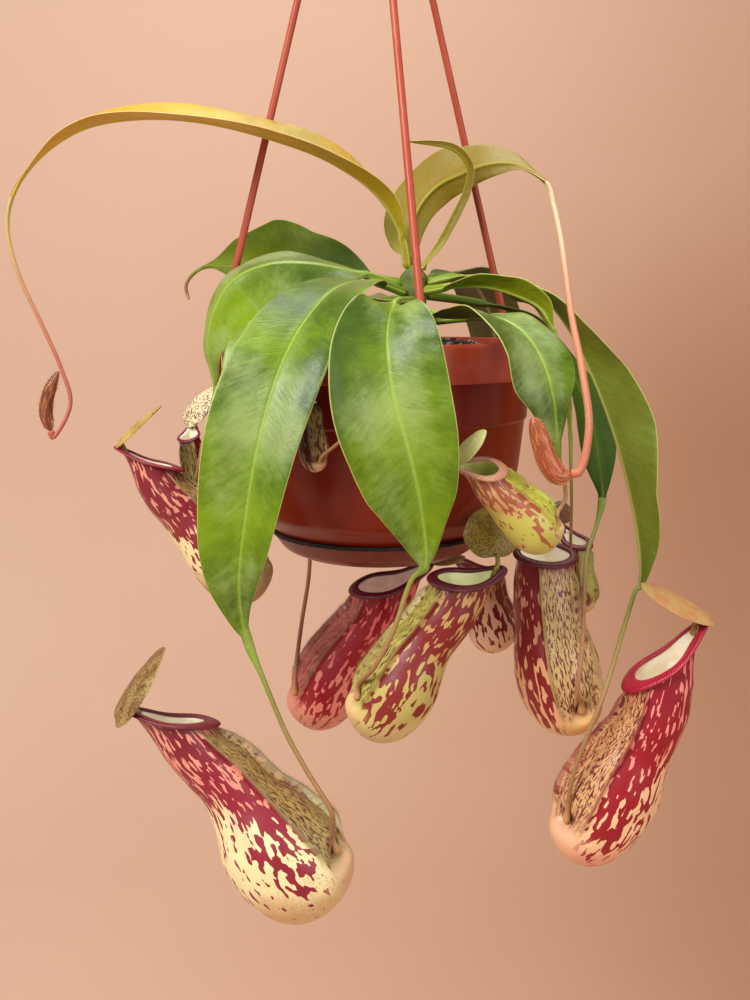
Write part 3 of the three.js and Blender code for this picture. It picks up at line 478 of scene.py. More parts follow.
@dataclass(frozen=True)
class LeafFinish:
    """The three finishes of a leaf: upper face, underside and tendril.

    deep and light are its greens, sheen the colour of a painted highlight laid in pale pools on it,
    and painted_sheen how much of it shows. foot is the tendril's end, and gloss the roughness.
    """

    EDGE: ClassVar[tuple[float, float]] = (0.975, 0.998)  # where the pale edge begins and is full

    name: str
    deep: Colour = tone(58, 86, 0)
    light: Colour = tone(118, 148, 0)
    # colour of the painted highlight
    sheen: Colour = tone(180, 198, 132)
    stalk: Colour = tone(132, 160, 36)
    rib: Colour = tone(160, 192, 70)
    edge: Colour = tone(196, 196, 110)
    under: Colour = tone(124, 140, 40)
    under_rib: Colour = tone(190, 190, 100)
    tendril: Colour = tone(168, 112, 78)
    tendril_start: Colour = tone(128, 150, 48)
    foot: Colour = tone(214, 160, 104)
    gloss: float = 0.36
    coat: float = 0.16
    specular: float = 0.34
    painted_sheen: float = 0.38

    def veins(self, shader: Shader) -> tuple[Val, Val, Val, Val]:
        """The masks that both faces share.

        Args:
            shader: the material they are built in.

        Returns:
            Distance from the midrib as a share of the blade, share along it, the midrib's mask
            and the fine quilting along the side veins.
        """
        across, along = shader.uv("place")
        out = abs(across * 2.0 - 1.0)
        real_x, real_y = shader.uv("size")
        rib = 1.0 - abs(real_x).step(0.0002, 0.0013)
        slant = real_y - abs(real_x) * 0.62
        drawn = real_y * 0.62 + abs(real_x)
        quilt = shader.noise(shader.vector(slant * 420.0, drawn * 90.0, across * 3.0), 1.0, 4.0, 0.62)
        return out, along, rib, quilt

    def upper(self) -> bpy.types.Material:
        """The glossy upper face."""
        shader = Shader(self.name + "_upper")
        out, along, rib, quilt = self.veins(shader)
        at = shader.spot()
        broad = shader.noise(at, 17.0, 2.0)
        mottle = shader.noise(at, 75.0, 4.0, 0.65)
        fine = shader.noise(at, 620.0, 3.0, 0.6)
        freckle = shader.cells(at, 150.0)
        tint = broad * 0.7 + mottle * 0.3 + (quilt - 0.5) * 0.12 + (along - 0.25) * 0.3
        # Pale pools of painted highlight, standing in for the lamps' broad sheen on the glossy face
        sheen_pools = shader.noise(at, 24.0, 1.0) + (quilt - 0.5) * 0.22 + (mottle - 0.5) * 0.3
        sheen_pools = (sheen_pools - abs(out - 0.5) * 0.2).step(0.36, 0.68) * along.step(0.08, 0.2)
        colour = shader.layers(
            self.deep,
            (tint.step(0.34, 0.68), self.light),
            ((1.0 - along.step(0.0, 0.16)) * 0.6, self.stalk),
            (sheen_pools * self.painted_sheen, self.sheen),
            ((1.0 - out.step(0.0, 0.3)) * 0.16, self.rib),
            (rib * (1.0 - along.step(0.34, 0.5) * 0.4) * 0.6, self.rib),
            (out.step(*self.EDGE), self.edge),
            ((1.0 - freckle.step(0.02, 0.05)) * 0.6, self.rib),
        )
        rough = self.gloss + (fine - 0.5) * 0.3 + (quilt - 0.5) * 0.3
        height = fine * 0.12 + quilt * 0.75 + mottle * 0.6 - rib * 0.25
        return shader.done(
            colour, rough, height, 0.5, Coat_Weight=self.coat, Coat_Roughness=0.32,
            Specular_IOR_Level=self.specular,
        )

    def lower(self) -> bpy.types.Material:
        """The duller underside with its raised midrib."""
        shader = Shader(self.name + "_under")
        out, along, rib, quilt = self.veins(shader)
        at = shader.spot()
        broad = shader.noise(at, 25.0, 3.0)
        fine = shader.noise(at, 500.0, 3.0)
        colour = shader.layers(
            self.under,
            ((broad * 0.6 + quilt * 0.4).step(0.35, 0.65) * 0.45, self.deep),
            ((1.0 - along.step(0.0, 0.2)) * 0.6, self.stalk),
            (rib, self.under_rib),
            (out.step(*self.EDGE), self.edge),
        )
        height = fine * 0.2 + quilt * 0.8 + rib * 0.5
        return shader.done(colour, 0.5 + (fine - 0.5) * 0.2, height, 0.4)

    def cord(self) -> bpy.types.Material:
        """The downy tendril, green at first and then brown or pink."""
        shader = Shader(self.name + "_tendril")
        across, along = shader.uv("place")
        _, real = shader.uv("size")
        streak = shader.noise(shader.vector(across * 9.0, real * 160.0, 0.0), 1.0, 3.0)
        fine = shader.noise(shader.spot(), 900.0, 3.0)
        colour = shader.layers(
            self.tendril_start,
            (along.step(0.52, 0.78), self.tendril),
            (streak.step(0.4, 0.7) * 0.35, self.tendril_start),
            (along.step(0.9, 0.97) * 0.8, self.foot),
            (fine.step(0.5, 0.75) * 0.3, tone(205, 170, 130)),
        )
        return shader.done(colour, 0.55, fine * 0.6 + streak * 0.4, 0.25)


@dataclass(frozen=True)
class PitcherFinish:
    """The finishes of a pitcher: skin, lip, lining, lid and hairs.

    cover holds the levels of the base, belly and throat above which the skin is blotched dark: the
    lower the level, the more of it is dark, and front_cover takes some of it away beside the wings.
    fleck and stretch give a blotch's width in millimetres and how much longer it is than wide. strip
    is the face between the wings, streak its streaks, and pit the painted shade in the fold that the tendril
    goes into.
    """

    WING_EDGE: ClassVar[float] = 0.576  # angle of the wings from the front, in radians

    name: str
    throat: Colour = tone(240, 168, 150)
    belly: Colour = tone(246, 232, 176)
    base: Colour = tone(228, 192, 138)
    toe: Colour = tone(226, 186, 140)
    blotch: Colour = tone(150, 22, 48)
    blotch_dark: Colour = tone(120, 14, 36)
    strip: Colour = tone(176, 152, 84)
    streak: Colour = tone(96, 48, 34)
    pit: Colour = tone(84, 42, 30)
    streak_cover: float = 0.52
    strip_share: float = 0.9
    wing: Colour = tone(150, 140, 96)
    cover: tuple[float, float, float] = (0.72, 0.59, 0.46)
    front_cover: float = 0.10
    fleck: float = 2.5
    stretch: float = 2.4
    lip: Colour = tone(98, 8, 28)
    lip_light: Colour = tone(150, 36, 58)
    lining: Colour = tone(246, 238, 214)
    lid: Colour = tone(170, 142, 72)
    lid_speck: Colour = tone(116, 50, 34)
    lid_cover: float = 0.68
    hair: Colour = tone(150, 120, 84)

    def skin(self, girth: float, length: float) -> bpy.types.Material:
        """The blotched outer wall.

        Args:
            girth: the belly's radius in millimetres.
            length: the length from base to mouth in millimetres.

        Returns:
            The material.
        """
        shader = Shader(self.name + "_skin")
        across, along = shader.uv("place")
        turn = across * TURN
        front = turn.cosine()
        off = across.least(1.0 - across) * TURN  # angle from the front, the same on both sides

        def wall(wide: float, tall: float) -> bpy.types.NodeSocket:
            """The place on the wall, with one step for each wide by tall millimetres."""
            return shader.vector(front * (girth / wide), turn.sine() * (girth / wide), along * (length / tall))

        # Where the dark blotches lie: the noise that stands over a level, which changes on the way up
        flecks = shader.noise(wall(self.fleck, self.fleck * self.stretch), 1.0, 1.0, 0.4)
        rag = shader.noise(wall(1.1, 2.0), 1.0, 2.0, 0.6)
        band = shader.noise(wall(14.0, 30.0), 1.0, 1.0)
        level_at = along + front * 0.13 + (band - 0.5) * 0.3
        low, middle, high = self.cover
        level = level_at.step(0.10, 0.26, low, middle) + level_at.step(0.44, 0.58, 0.0, high - middle)
        beside = 1.0 - abs(off - 1.0).step(0.1, 0.75)
        bared = self.front_cover * (1.0 - along.step(0.42, 0.66) * 0.5)
        level = level - beside * bared * along.step(0.12, 0.25) - (band - 0.5) * 0.12
        patch = (flecks + (rag - 0.5) * 0.12 - level).step(-0.008, 0.008)

        # The pale ground and the blotches' colour
        at = shader.spot()
        fine = shader.noise(at, 700.0, 3.0, 0.6)
        speck = shader.noise(at, 1300.0, 2.0)
        broad = shader.noise(at, 40.0, 2.0)
        dark = shader.blend(along.step(0.6, 0.98) * 0.6 + (broad - 0.5) * 0.8, self.blotch, self.blotch_dark)
        toe = (1.0 - off.step(0.35, 1.1)) * (1.0 - along.step(0.12, 0.2))
        colour = shader.layers(
            self.base,
            (level_at.step(0.14, 0.3), self.belly),
            (level_at.step(0.46, 0.66), self.throat),
            (speck.step(0.55, 0.62) * (1.0 - along.step(0.1, 0.5)) * 0.55, self.strip),
            (toe, self.toe),
            (patch * (1.0 - toe), dark),
        )

        # The streaked strip between the wings, the wings' own edge and the painted shade in the fold
        lines = shader.noise(wall(0.9, 3.6), 1.0, 2.0, 0.55)
        inner = shader.blend((lines - self.streak_cover).step(-0.015, 0.025), self.strip, self.streak)
        between = (1.0 - off.step(0.5, 0.6)) * self.strip_share
        edge = 1.0 - abs(off - self.WING_EDGE).step(0.015, 0.05)
        # Painted shade darkening the fold where the tendril goes in
        pit = (1.0 - off.step(0.12, 0.4)) * (1.0 - abs(along - FOLD_AT - 0.018).step(0.008, 0.034))
        colour = shader.layers(
            colour,
            (between * (1.0 - along.step(0.93, 1.0)) * along.step(0.12, 0.2), inner),
            (edge * along.step(0.16, 0.3) * 0.8, self.wing),
            (pit * 0.9, self.pit),
        )
        height = fine * 0.35 + rag * 0.3 + patch * 0.2 + broad * 0.3
        return shader.done(
            colour, 0.4 + (fine - 0.5) * 0.25, height, 0.2,
            Subsurface_Weight=0.1, Subsurface_Scale=0.002, Coat_Weight=0.15, Coat_Roughness=0.25,
        )

    def rim(self, ribs: int) -> bpy.types.Material:
        """The glossy, finely ribbed lip."""
        shader = Shader(self.name + "_lip")
        rib = (shader.uv("place")[0] * (TURN * ribs)).cosine()
        broad = shader.noise(shader.spot(), 90.0, 2.0)
        colour = shader.blend(rib.step(-0.2, 1.0) * 0.25 + (broad - 0.5) * 0.8, self.lip, self.lip_light)
        return shader.done(colour, 0.3, rib * 0.5 + 0.5, 0.06, Coat_Weight=0.15, Coat_Roughness=0.12)

    def inside(self) -> bpy.types.Material:
        """The pale waxy lining, with a faint painted glow that stands in for the light the thin wall lets
        through.
        """
        shader = Shader(self.name + "_lining")
        along = shader.uv("place")[1]
        at = shader.spot()
        cloud = shader.noise(at, 130.0, 3.0)
        fine = shader.noise(at, 900.0, 2.0)
        deep = (1.0 - along.step(0.2, 0.7)) * 0.6
        colour = shader.layers(self.lining, (cloud.step(0.42, 0.66) * 0.4, self.strip), (deep, self.base))
        # The faint emission paints the light that comes through the thin wall
        return shader.done(colour, 0.5, fine, 0.08, Emission_Color=self.lining, Emission_Strength=0.12)

    def cover_leaf(self) -> bpy.types.Material:
        """The speckled lid."""
        shader = Shader(self.name + "_lid")
        across, along = shader.uv("place")
        at = shader.spot()
        speck = shader.noise(at, 1100.0, 2.0, 0.6)
        broad = shader.noise(at, 120.0, 2.0)
        out = abs(along * 2.0 - 1.0)
        level = 0.7 - self.lid_cover * 0.3 + (broad - 0.5) * 0.35
        mask = (speck - level).step(-0.03, 0.04) * 0.85
        colour = shader.layers(self.lid, (broad.step(0.35, 0.7) * 0.15, self.belly), (mask, self.lid_speck))
        veins = (across * (TURN * 9.0)).cosine().step(0.9, 1.0)
        height = speck * 0.3 + veins * 0.4 * out + broad * 0.3
        return shader.done(colour, 0.45, height, 0.2)

    def down(self) -> bpy.types.Material:
        """The hairs of the wings."""
        shader = Shader(self.name + "_hair")
        tint = shader.noise(shader.spot(), 300.0, 1.0)
        colour = shader.blend(tint.step(0.35, 0.65), self.hair, self.strip)
        return shader.done(colour, 0.6)

    def all(self, girth: float, length: float, ribs: int) -> list[bpy.types.Material]:
        """The five finishes in the order of PitcherSide."""
        return [self.skin(girth, length), self.rim(ribs), self.inside(), self.cover_leaf(), self.down()]


class Moulding(Enum):
    """The plastics of the pot and what hangs it: name, body colour, worn colour and roughness."""

    # POT's body colour is darkened to paint the shade that the leaves cast on the pot; LIT_BAND is the same
    # plastic, lighter, to paint the light on the band round the rim
    POT = ("pot_plastic", tone(126, 27, 2), tone(154, 48, 18), 0.32)
    LIT_BAND = ("pot_band_lit_plastic", tone(192, 74, 48), tone(220, 122, 96), 0.34)
    SAUCER = ("saucer_plastic", tone(112, 48, 34), tone(158, 88, 70), 0.38)
    HANGER = ("hanger_plastic", tone(174, 72, 48), tone(204, 108, 82), 0.4)

    def material(self) -> bpy.types.Material:
        """Smooth moulded plastic with flow marks, dust and fine scratches."""
        name, body, worn, gloss = self.value
        shader = Shader(name)
        at = shader.spot()
        drawn = shader.node("ShaderNodeMapping", None, {"Vector": at, "Scale": (1.0, 1.0, 0.12)})
        flow = shader.noise(drawn.outputs[0], 120.0, 3.0)
        dust = shader.noise(at, 55.0, 4.0, 0.6)
        grain = shader.noise(at, 1400.0, 2.0)
        colour = shader.layers(body, (flow.step(0.4, 0.75) * 0.22, worn), (dust.step(0.52, 0.8) * 0.3, worn))
        rough = gloss + (dust - 0.5) * 0.22 + (grain - 0.5) * 0.06
        return shader.done(
            colour, rough, flow * 0.7 + grain * 0.12, 0.12, Coat_Weight=0.08, Coat_Roughness=0.2,
            Specular_IOR_Level=0.35,
        )


# Leaves

@dataclass(frozen=True)
class Leaf:
    """One leaf from its stalk to the end of its tendril, as the part's source lists it.

    mid runs along the midrib, across gives the way to the second half from stalk to tip, half the
    greatest widths of the two halves, and holds names the pitcher that the tendril carries. peak and
    stalk say where the blade is widest and where it starts, and peak_far and stalk_far the same of the
    second half. fold gives the halves' rise from stalk to tip, in degrees.
    """

    NEAR: ClassVar[float] = 14.0  # listed points of the tendril nearer than this to its end are left out
    DRIP: ClassVar[float] = 0.34  # how much narrower the blade gets just before its tip
    SWELL: ClassVar[float] = 0.8  # how much thicker the tendril gets where it meets its pitcher
    STRAP: ClassVar[float] = 1.1  # how much wider than round the tip is where it becomes the tendril

    name: str
    mid: Sequence[Point]
    across: Sequence[Point]
    half: tuple[float, float]
    tendril: Sequence[Point] = ()
    peak: float = 0.45
    peak_far: Optional[float] = None
    power: float = 1.5
    stalk: float = 0.0
    stalk_far: Optional[float] = None
    fold: Sequence[float] = (15.0, 15.0)
    wave: float = 1.2
    waves: float = 3.0
    stalk_r: float = 2.2
    tail_r: float = 1.1
    end_r: Optional[float] = None
    holds: str = ""

    def path(self, pitchers: dict[str, "Pitcher"]) -> Path:
        """The midrib and the tendril as one curve."""
        points = [Vector(p) for p in (*self.mid, *self.tendril)]
        if points[0].z < CROWN_TOP:
            way = points[1] - points[0]
            out = Vector((points[1].x - CROWN_AT.x, points[1].y - CROWN_AT.y, 0.0)).normalized()
            away = CROWN_R - 0.6 + self.stalk_r * abs(way.z) / way.length
            points[0] = Vector((CROWN_AT.x, CROWN_AT.y, points[0].z)) + out * away
        if self.holds:
            end = PitcherPart(pitchers[self.holds]).tendril_end()
            while len(points) > len(self.mid) + 1 and (points[-1] - end[-1]).length < self.NEAR:
                points.pop()
            points += end
        return Path(points)

    def width(self, f: float, second: bool) -> float:
        """The width of one half of the blade at f, 0..1 from stalk to tip."""
        start = self.stalk if not second or self.stalk_far is None else self.stalk_far
        peak = self.peak if not second or self.peak_far is None else self.peak_far
        g = (f - start) / (1.0 - start)
        if g <= 0.0 or g >= 1.0:
            return 0.0
        rise = (g / peak) ** (peak * self.power)
        drip = 1.0 - (self.DRIP * smooth((g - 0.78) / 0.18) if self.tendril else 0.0)
        return self.half[second] * rise * drip * ((1.0 - g) / (1.0 - peak)) ** ((1.0 - peak) * self.power)

    def core(self, f: float) -> float:
        """The radius of the stalk, and past the blade of the tendril."""
        if f <= 1.0:
            return mix(self.stalk_r, self.tail_r, smooth(f / 0.6))
        swell = 1.0 + (self.SWELL * smooth((f - 1.8) / 0.2) if self.holds and not self.end_r else 0.0)
        return mix(self.tail_r, self.end_r or self.tail_r, f - 1.0) * swell

    def strap(self, f: float) -> float:
        """How much wider than a round cord the leaf is where its tip runs out into the tendril."""
        if not self.tendril:
            return 1.0
        return 1.0 + self.STRAP * smooth((f - 0.9) / 0.1) * (1.0 - smooth((f - 1.0) / 0.16))


class LeafSide(IntEnum):
    """The finishes of a leaf, by number."""

    UPPER = 0
    UNDER = 1
    TENDRIL = 2


class LeafPart:
    """Builds one leaf as a smooth skin with a grooved midrib, quilted faces and thin edges."""

    AROUND = 64
    ALONG = 140
    BLADE = 0.6  # share of the grid's rows that the blade takes from the tendril
    CROWD = 0.8  # how strongly the grid's lines crowd at the midrib and the edges
    RIB_HALF = 0.86  # half the blade's thickness at the midrib
    BLADE_HALF = 0.42  # half its thickness further out
    GROOVE = 0.55  # depth of the groove over the midrib

    def __init__(self, leaf: Leaf, pitchers: dict[str, "Pitcher"]) -> None:
        """Lays out the leaf's curve.

        Args:
            leaf: its row of the table.
            pitchers: the pitchers by name.
        """
        self.leaf = leaf
        self.path = leaf.path(pitchers)
        last = len(self.path.points) - 1
        self.tip = (len(leaf.mid) - 1) / last
        self.tailed = self.tip < 1.0
        self.hints = [Vector(p) for p in leaf.across]
        self.frames: dict[float, tuple[Vector, Vector, Vector]] = {}
        self.seed = float(sum(map(ord, leaf.name)) % 97)

    def along(self, v: float) -> float:
        """The place on the leaf, 0..1 on the blade and 1..2 on the tendril."""
        if not self.tailed:
            return v
        return v / self.BLADE if v < self.BLADE else 1.0 + (v - self.BLADE) / (1.0 - self.BLADE)

    @staticmethod
    def across(a: float) -> float:
        """The place across the leaf, -1..1, crowded at the midrib and the edges."""
        q = 4.0 * a - 1.0 if a < 0.5 else 3.0 - 4.0 * a
        return q - LeafPart.CROWD * math.sin(TURN * q) / TURN

    def station(self, f: float) -> tuple[Vector, Vector, Vector]:
        """The midrib's point at f, the way across and the way up."""
        key = round(f, 6)
        if key not in self.frames:
            u = self.tip * f if f <= 1.0 else mix(self.tip, 1.0, f - 1.0)
            tangent = self.path.tangent(u)
            side = square_to(tangent, along_list(self.hints, min(f, 1.0)))
            self.frames[key] = (self.path.point(u), side, side.cross(tangent))
        return self.frames[key]

    def half_width(self, f: float, j: float) -> float:
        """The half's width at f, or the stalk's radius where that is more."""
        return max(self.leaf.core(f) * self.leaf.strap(f), self.leaf.width(min(f, 1.0), j > 0.0))

    def ripple(self, f: float, across: float) -> float:
        """How far the blade stands up in soft waves at f, at a distance from the midrib."""
        at = Vector((across, f * 40.0 + self.seed, self.seed))
        broad = noise.noise(at * 0.11) * 0.9 * min(1.0, abs(across) / 4.0)
        return broad + noise.noise(at * 0.45) * 0.16 * min(1.0, abs(across) / 3.0)

    def surface(self, a: float, v: float) -> Vector:
        """The skin's point at a round the section and v along the leaf."""
        leaf = self.leaf
        f = self.along(v)
        j = self.across(a)
        at, side, up = self.station(f)
        core = leaf.core(f)
        w = self.half_width(f, j)
        spread = max(0.0, w - core * leaf.strap(f)) / max(leaf.half[j > 0.0], 1.0)
        reach = abs(j) * w
        angle = math.radians(along_list(leaf.fold, min(f, 1.0))) * min(1.0, spread * 2.0)
        phase = leaf.waves * TURN * f + (0.0 if j < 0.0 else 1.7)
        wave = leaf.wave * math.sin(math.pi * min(f, 1.0)) * spread * abs(j) ** 3 * math.sin(phase)
        sign = math.copysign(1.0, j) if j else 0.0
        p = at + side * (sign * reach * math.cos(angle)) + up * (reach * math.sin(angle) + wave)
        blade = min(1.0, spread * 6.0) * (1.0 - smooth((f - 0.9) / 0.1) if f <= 1.0 else 0.0)
        soft = min(1.0, 1.4 / max(w, 1e-6))
        flat = mix(self.RIB_HALF, self.BLADE_HALF, smooth(reach / 2.4)) * dome((abs(j) - 1.0 + soft) / soft)
        t = mix(core * dome(abs(j)), flat, blade)
        if v <= 0.0 or v >= 1.0:
            t = 0.0
            p = at.copy()
        normal = up * math.cos(angle) - side * (sign * math.sin(angle))
        ripple = self.ripple(f, reach * sign) * blade if blade > 0.0 else 0.0
        groove = self.GROOVE * bell(reach, 0.8) * blade
        if a < 0.5:
            return p + normal * (t - groove + ripple)
        return p - normal * (t + groove * 0.5 - ripple)

    def side(self, a: float, v: float) -> LeafSide:
        """The finish at a round the section and v along the leaf."""
        if self.along(v) > 1.0:
            return LeafSide.TENDRIL
        return LeafSide.UNDER if a >= 0.5 else LeafSide.UPPER

    def build(self, finish: LeafFinish, slot: str) -> bpy.types.Object:
        """Models and dresses the leaf.

        Args:
            finish: its colours.
            slot: the record's material slot.

        Returns:
            The piece.
        """
        work = Workpiece("see_" + self.leaf.name)
        length = self.path.length
        work.lay(
            self.AROUND, self.ALONG, self.surface,
            finish=self.side,
            size=lambda a, v: (
                self.across(a) * self.half_width(self.along(v), self.across(a)),
                min(self.along(v), 1.0) * self.tip * length,
            ),
            place=lambda a, v: ((self.across(a) + 1.0) / 2.0, self.along(v) / 2.0),
        )
        return work.finish([finish.upper(), finish.lower(), finish.cord()], self.leaf.name, slot=slot)


# Pitchers

@dataclass(frozen=True)
class Lid:
    """A pitcher's lid: its length runs along, and its upper side looks to face.

    rise is the height of its neck over the lip, and reach how far its middle lies from the neck, as a
    share of its length.
    """

    along: Point
    face: Point
    length: float
    width: float
    rise: Optional[float] = None
    reach: float = 0.92


@dataclass(frozen=True)
class Pitcher:
    """One pitcher, as the part's source lists it.

    axis runs from base to mouth, front is the side of the wings, and slope and lean drop the mouth.
    """

    WAIST_AT: ClassVar[float] = 0.68
    BULGE: ClassVar[float] = 0.13  # depth of the fold and of the foot under it, as a share of the belly

    name: str
    axis: Sequence[Point]
    belly: float
    neck: float
    mouth: float
    front: Point
    slope: float
    lip: float = 0.0
    lean: float = 0.0
    belly_at: float = 0.31
    closed: bool = False
    lid: Optional[Lid] = None

    def girth(self, s: float) -> float:
        """The radius at s of the length: rounded base, belly, waist and throat."""
        if s < self.belly_at:
            return self.belly * math.sqrt(1.0 - (1.0 - s / self.belly_at) ** 2.5)
        if s < self.WAIST_AT:
            return mix(self.belly, self.neck, smooth((s - self.belly_at) / (self.WAIST_AT - self.belly_at)))
        return mix(self.neck, self.mouth, smooth((s - self.WAIST_AT) / (1.0 - self.WAIST_AT)))

    def fold(self, s: float) -> float:
        """Depth of the fold low on the front, where the tendril goes in."""
        return 0.0 if self.closed else self.belly * self.BULGE * bell(s - FOLD_AT, 0.05)

    def toe(self, s: float) -> float:
        """How far the foot bulges forward under the fold."""
        return 0.0 if self.closed else self.belly * self.BULGE * bell(s - 0.08, 0.07)


class PitcherSide(IntEnum):
    """The finishes of a pitcher, by number."""

    SKIN = 0
    LIP = 1
    LINING = 2
    LID = 3
    HAIR = 4


class PitcherPart:
    """Builds one pitcher: hollow body, winged front, ribbed lip, lid and hairs."""

    WALL = 1.3
    WING_TURN = math.radians(33.0)
    OUTER = 0.62  # share of the body's rows that go up the outside
    OVER = 0.66  # and up to this one over the mouth, the rest down the lining
    LINING_END = 0.19  # share of the length at which the hollow ends
    STOPS = (
        (0.0, 0.0), (0.07, 27.0), (0.17, 39.0), (0.5, 180.0), (0.83, 321.0), (0.93, 333.0), (1.0, 360.0),
    )  # degrees from the front at shares of the body's columns, which crowd at the wings
    LID_HALF = 0.75  # half the lid's thickness
    HAIR_R = 0.09  # radius of a wing's hair at its root
    WING_HAIR = 1.5  # and its length
    FUZZ = 420  # hairs of a closed pitcher
    FUZZ_HAIR = 1.3  # and their length

    def __init__(self, pitcher: Pitcher) -> None:
        """Lays out the pitcher's axis.

        Args:
            pitcher: its row of the table.
        """
        self.pitcher = pitcher
        self.path = Path(pitcher.axis)
        self.big = pitcher.belly > 9.0
        self.wing = 0.0 if pitcher.closed else pitcher.belly * 0.1 + 0.6
        self.frames: dict[float, tuple[Vector, Vector, Vector, Vector]] = {}
        self.draw = random.Random(pitcher.name)

    def station(self, s: float) -> tuple[Vector, Vector, Vector, Vector]:
        """The axis point at s, its tangent, the way to the front and the way beside it."""
        key = round(s, 6)
        if key not in self.frames:
            tangent = self.path.tangent(self.path.share(s))
            front = square_to(tangent, Vector(self.pitcher.front))
            at = self.path.point(self.path.share(s))
            self.frames[key] = (at, tangent, front, tangent.cross(front))
        return self.frames[key]

    def tendril_end(self) -> list[Vector]:
        """The tendril's last points: into the fold, or into the foot of a closed pitcher."""
        p = self.pitcher
        if p.closed:
            at, tangent, _, _ = self.station(0.0)
            return [at - tangent * 3.2, at + tangent * 0.5]
        at, tangent, front, _ = self.station(FOLD_AT)
        end = at + front * (p.girth(FOLD_AT) - p.fold(FOLD_AT) + p.toe(FOLD_AT))
        before = end + front * (p.belly * 0.1 + 0.9) + tangent * (p.belly * 0.24)
        return [before, end - front * 1.2 - tangent * 1.2]

    def ring(
        self, s: float, r: float, lift: float, turn: float, extra: float = 0.0, peak: float = 0.0,
    ) -> Vector:
        """A point round the axis, sheared so that the mouth drops towards the front.

        Args:
            s: share of the axis.
            r: radius that the shear follows.
            lift: height along the axis.
            turn: the angle from the front.
            extra: what stands out past r.
            peak: rise of the lip at the back.

        Returns:
            The point.
        """
        at, tangent, front, other = self.station(s)
        oblique = smooth((s - 0.45) / 0.55)
        tilt = self.pitcher.slope * math.cos(turn) + self.pitcher.lean * math.sin(turn)
        back = max(0.0, -math.cos(turn)) ** 4
        out = r + extra + peak * 0.5 * back
        drawn = 1.0 - 0.3 * smooth((s - 0.82) / 0.18) * smooth(0.35 - 0.75 * math.cos(turn))
        sideways = front * (out * math.cos(turn)) + other * (out * drawn * math.sin(turn))
        return at + sideways + tangent * (lift + peak * back - oblique * r * tilt)

    @staticmethod
    def angle(a: float) -> float:
        """The angle from the front at a, crowded at the two wings."""
        stops = PitcherPart.STOPS
        for (a0, d0), (a1, d1) in zip(stops, stops[1:]):
            if a <= a1:
                return math.radians(mix(d0, d1, (a - a0) / (a1 - a0)))
        return TURN

    def share(self, v: float) -> float:
        """The share of the axis at v of the body's grid."""
        if self.pitcher.closed:
            return v
        if v < self.OUTER:
            return (v / self.OUTER) ** 1.3
        if v < self.OVER:
            return 1.0
        return mix(1.0, self.LINING_END, (v - self.OVER) / (1.0 - self.OVER))

    def ridge(self, turn: float, s: float) -> float:
        """How far the wings stand out at an angle."""
        off = min(abs(turn - self.WING_TURN), abs(TURN - turn - self.WING_TURN))
        wide = off * max(self.pitcher.girth(s), 1.0)
        return self.wing * 1.35 * bell(wide, 0.7) * smooth((s - 0.12) / 0.15) * smooth((1.0 - s) / 0.1)

    def raised(self, s: float) -> float:
        """How far the wall rises at the back, a little less than the lip that it carries."""
        return PEAK * self.pitcher.mouth * 0.8 * smooth((s - 0.85) / 0.15)

    @staticmethod
    def nose(s: float) -> float:
        """How a closed pitcher narrows to its rounded end, as a share of its girth."""
        return dome((s - 0.6) / 0.4)

    def body(self, a: float, v: float) -> Vector:
        """The body's point: up the outside, over the mouth and down the lining."""
        p = self.pitcher
        turn = self.angle(a)
        s = self.share(v)
        r = p.girth(s)
        if p.closed:
            return self.ring(s, r * self.nose(s) * min(1.0, math.sqrt(s / 0.03)), 0.0, turn)
        if v < self.OUTER:
            bumps = noise.noise(self.ring(s, r, 0.0, turn) * 0.09) * 0.035 * r
            bumps *= (1.0 - smooth((s - 0.8) / 0.2)) * smooth(s / 0.05)
            off = min(turn, TURN - turn)
            pinch = p.fold(s) * bell(off, 0.3) * 1.9
            toe = p.toe(s) * smooth(s / 0.03) * max(0.0, math.cos(turn)) ** 2
            return self.ring(s, r, 0.0, turn, self.ridge(turn, s) + bumps - pinch + toe, self.raised(s))
        if v < self.OVER:
            over = (v - self.OUTER) / (self.OVER - self.OUTER)
            return self.ring(1.0, r - self.WALL * over, 0.0, turn, 0.0, self.raised(1.0))
        down = (v - self.OVER) / (1.0 - self.OVER)
        return self.ring(s, (r - self.WALL) * dome((down - 0.8) / 0.2), 0.0, turn, 0.0, self.raised(s))

    def lip(self, a: float, v: float) -> Vector:
        """The rolled lip's point, ribbed round its section and raised to a neck at the back."""
        p = self.pitcher
        turn = TURN * a
        back = bell(turn - math.pi, 0.4)
        rib = 1.0 + 0.035 * math.cos(turn * self.ribs)
        flare = 1.0 + 0.2 * (1.0 - back) * math.sin(turn / 2.0) ** 2 - 0.25 * back
        thick = p.lip * (0.98 if self.big else 0.58) * rib * flare
        phi = TURN * v
        out = math.cos(phi) * thick * 1.2 + p.lip * 0.2
        height = math.sin(phi) * thick * 0.72 + p.lip * (0.3 - 0.22 * math.cos(phi))
        return self.ring(1.0, p.mouth + out, height, turn, 0.0, PEAK * p.mouth)

    @property
    def ribs(self) -> int:
        """How many ribs go round the lip."""
        return max(30, round(TURN * self.pitcher.mouth / 0.8))

    def cover(self, work: Workpiece) -> None:
        """Adds the lid, a thin wavy disc with a keel and a notch, and its neck."""
        p, lid = self.pitcher, self.pitcher.lid
        at, tangent, front, _ = self.station(1.0)
        r = p.mouth + p.lip * 0.2
        hinge = at - front * r + tangent * (p.slope * r + self.raised(1.0))
        along = Vector(lid.along).normalized()
        normal = square_to(along, Vector(lid.face))
        across = along.cross(normal)
        neck = max(1.2, p.mouth * 0.12)
        rise = neck * 1.2 if lid.rise is None else lid.rise
        start = hinge + tangent * rise + along * neck
        centre = start + along * (lid.length * lid.reach)

